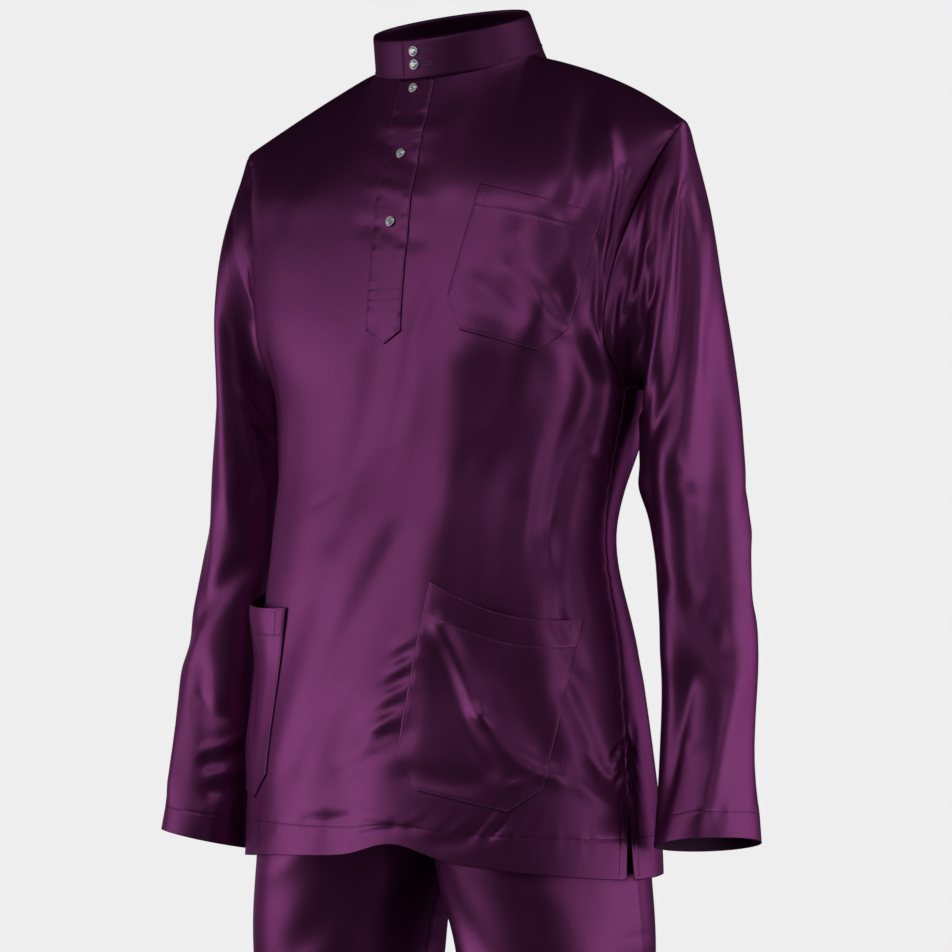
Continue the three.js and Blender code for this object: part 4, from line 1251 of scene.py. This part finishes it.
# Buttonholes: close thread bars round a slit beside each collar stud
STUD_HEIGHTS = (24, 12)
BUTTONHOLE_LENGTH = 11
BUTTONHOLE_START = 4
BUTTONHOLE_RISE = 1.3
THREAD_BAR = (0.9, 1.7, 0.45)  # pitch, length and half width
turn = np.linspace(0, TURN, 300)
along, aside = (np.clip(1.6 * wave(turn), -1, 1) for wave in (np.cos, np.sin))
half = BUTTONHOLE_LENGTH / 2
hole_run = BUTTONHOLE_START + half + (half + 1) * along
hole_angle = np.degrees(hole_run / (NECK_HALF_WIDTH - 2)) - 360
holes = [
    (*on_collar(hole_angle, height + BUTTONHOLE_RISE * aside), *THREAD_BAR)
    for height in STUD_HEIGHTS
]
add_stitches("collar_buttonholes", holes, THREAD)

# Bar-tacks at the tops of the side slits
across = blend(1 - BAR_TACK / HALF_ROUND, 1, np.linspace(0, 1, 60))
tacks = [
    body(front, side * across, SLIT_TOP + row, 0.3)
    for side in (-1, 1)
    for row in (1, 2, 3)
    for front in (True, False)
]
add_stitches("slit_bar_tacks", tacks, THREAD)

for name, (side, front) in TROUSER_PANELS.items():
    hem_row = trouser(side, front, blend(0.01, 0.99, LINE), TROUSER_HEM_ROW)
    add_stitches(name + "_stitches", [hem_row], SHADED_THREAD)

# Studs: a plated setting round a cut stone, drawn smooth where the real one has beads, on a neck
# with a foot behind the cloth


def circle(radius, rise, count, offset=0):
    """Even points round +Z at one height, turned by `offset` steps."""
    swing = TURN * (np.arange(count) + offset) / count
    return np.stack([radius * np.cos(swing), radius * np.sin(swing), 0 * swing + rise], -1)


def add_stud(name, place, outward, stack):
    """A stud of one mesh, its setting smooth and its stone in flat facets. `stack` is how much
    cloth lies between its head and its foot."""
    foot = -stack - 0.9
    profile = [
        (3.4, foot - 0.9), (3.8, foot - 0.6), (3.8, foot - 0.2), (3.4, foot),
        (1, foot), (1, 0.4), (3.6, 0.4), (4.3, 0.9), (4.6, 1.5), (4.5, 2.0), (4.1, 2.3), (3.8, 2.1),
    ]
    turns, rings = 24, len(profile)
    grid = np.stack([circle(*ring, turns) for ring in profile], 1)
    corner_i, corner_j = grid_faces(turns, rings, 1, True)
    setting = ((corner_i % turns) * rings + corner_j).tolist()
    first_ring = np.arange(turns) * rings
    setting += [first_ring[::-1].tolist(), (first_ring + rings - 1).tolist()]
    count = 8
    stone_rings = (2.1, 4.2, count), (3.1, 3.5, count, 0.5), (3.9, 2.0, 2 * count)
    flat, crown, girdle = (turns * rings + step * count for step in (0, 1, 2))
    stone = [[flat + k for k in range(count)], [girdle + k for k in range(2 * count)][::-1]]
    for k in range(count):
        after, below = (k + 1) % count, girdle + 2 * k
        stone.append([flat + k, crown + k, flat + after])
        stone.append([flat + k, crown + (k - 1) % count, below, crown + k])
        stone.append([crown + k, below, below + 1])
        stone.append([crown + k, below + 1, girdle + 2 * after])
    stone_points = [circle(*ring) for ring in stone_rings]
    points = np.concatenate([grid.reshape(-1, 3), *stone_points])
    turn = np.array(Vector(outward).to_track_quat("Z", "Y").to_matrix())
    points = points @ turn.T + place
    thing = add_object(name + "_cut_stone", points, setting + stone, [SETTING, FOILED_STONE])
    of_stone = np.arange(len(setting + stone)) >= len(setting)
    thing.data.polygons.foreach_set("use_smooth", ~of_stone)
    thing.data.polygons.foreach_set("material_index", of_stone.astype(int))
    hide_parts(name)


STUD_LEVELS = (-34, -93, -154)
COLLAR_STACK = 2 * COLLAR_WALL + 0.4
PLACKET_STACK = 2.8

for k, stud_height in enumerate(STUD_HEIGHTS):
    low, high = collar(np.zeros(1), np.array([[stud_height], [stud_height + 1]]), COLLAR_OVER)[:, 0]
    add_stud(f"stud_{k + 1}", low, unit(np.cross([1, 0, 0], high - low)), COLLAR_STACK)
for k, stud_level in enumerate(STUD_LEVELS):
    place = front_places(np.zeros(1), np.array([stud_level]), *PLACKET_POSE)
    points, normals = body(True, *place, LIFT)
    add_stud(f"stud_{k + 3}", points[0], normals[0], PLACKET_STACK)

# Cloth: the flat size of each cut piece in metres, and its area where it isn't a rectangle

FLAT = {
    "shirt_front": (0.57, 0.755, 0.35),
    "shirt_back": (0.51, 0.78, 0.345),
    "sleeve_left": (0.46, 0.62, 0.158),
    "sleeve_right": (0.46, 0.645, 0.163),
    "collar": (0.505, 0.0375, None),
    "placket": (0.037, 0.24, None),
    "pocket_chest": (0.112, 0.13, None),
    "pocket_left": (0.134, 0.18, 0.023),
    "pocket_right": (0.14, 0.18, None),
    **dict.fromkeys(TROUSER_PANELS, (0.28, 1.01, 0.25)),
    "trouser_waistband": (0.78, 0.038, None),
}

# Stage, light and finish

FLOOR_LEVEL = -1.5
FLOOR_GLOW = 0.85
FLOOR_RADIUS = 4.2
FLOOR_CORNERS = 96
floor_mesh = bpy.data.meshes.new("floor")
rim = circle(FLOOR_RADIUS, FLOOR_LEVEL, FLOOR_CORNERS).tolist()
floor_mesh.from_pydata(rim, [], [list(range(FLOOR_CORNERS))])
floor = bpy.data.objects.new("floor", floor_mesh)
bpy.context.collection.objects.link(floor)
# Matte studio paper that glows a little, so that it stays pale under the dark ceiling
PAPER_LOOK = {
    "Base Color": linear("6a6a6a"),
    "Roughness": 0.9,
    "Emission Color": linear("eeeeee"),
    "Emission Strength": FLOOR_GLOW,
}
floor_mesh.materials.append(new_material("matte_backdrop_paper", PAPER_LOOK)[0])
floor.visible_diffuse = False
floor.visible_glossy = False


def make_world():
    """Pale surroundings, with darkness overhead in the light that falls on the cloth."""
    world = bpy.data.worlds.new("studio")
    world.use_nodes = True
    tree = world.node_tree
    seen = tree.nodes["Background"]
    set_inputs(seen, {"Color": linear("eeeeee"), "Strength": 1.0})
    place = add_node(tree, "TexCoord", {}, "Generated")
    upward = add_node(tree, "SeparateXYZ", {"Vector": place}, "Z")
    fall = {"Value": upward, "From Min": -0.5, "From Max": 0.4, "To Min": 0.05, "To Max": 0.004}
    strength = add_node(tree, "MapRange", fall, interpolation_type="SMOOTHSTEP")
    lit = add_node(tree, "Background", {"Color": (1, 1, 1, 1), "Strength": strength})
    seen_directly = add_node(tree, "LightPath", {}, "Is Camera Ray")
    mix = add_node(tree, "MixShader", {0: seen_directly, 1: lit, 2: seen.outputs[0]})
    set_inputs(tree.nodes["World Output"], {"Surface": mix})
    bpy.context.scene.world = world


make_world()
bpy.context.scene.view_settings.view_transform = "Standard"

LIT_MIDDLE = Vector((0, 0, -0.5))
LIGHT_DISTANCE = 2.6
# azimuth and rise in degrees from the front, width and height in metres, and power in watts
SOFTBOXES = {
    "key_light": (-53, 3, (2.95, 1.6), 14.5),
    "left_light": (-114, 2, (1.8, 1.6), 3),
    "low_left_light": (-58, -14, (2.0, 0.7), 5),
    "chest_light": (-12, 25, (1.7, 0.7), 5.5),
    "high_front_light": (28, 37, (1.3, 0.7), 4.5),
    "near_side_light": (64, 3, (0.8, 0.8), 2.3),
    "high_side_light": (98, 45, (1.5, 1.2), 8),
    "low_side_light": (88, -14, (1.6, 0.7), 6),
    "back_side_light": (130, 3, (3.1, 1.6), 19),
}


def add_softbox(name, azimuth, rise, size, power):
    """A large soft light that faces the middle of the set."""
    around, up = np.radians(azimuth), np.radians(rise)
    away = Vector((np.sin(around) * np.cos(up), -np.cos(around) * np.cos(up), np.sin(up)))
    data = bpy.data.lights.new(name, "AREA")
    data.shape = "RECTANGLE"
    data.size, data.size_y = size
    data.energy = power
    light = bpy.data.objects.new(name, data)
    light.location = LIT_MIDDLE + LIGHT_DISTANCE * away
    light.rotation_mode = "QUATERNION"
    light.rotation_quaternion = (-away).to_track_quat("-Z", "Y")
    bpy.context.collection.objects.link(light)


for name, softbox in SOFTBOXES.items():
    add_softbox(name, *softbox)
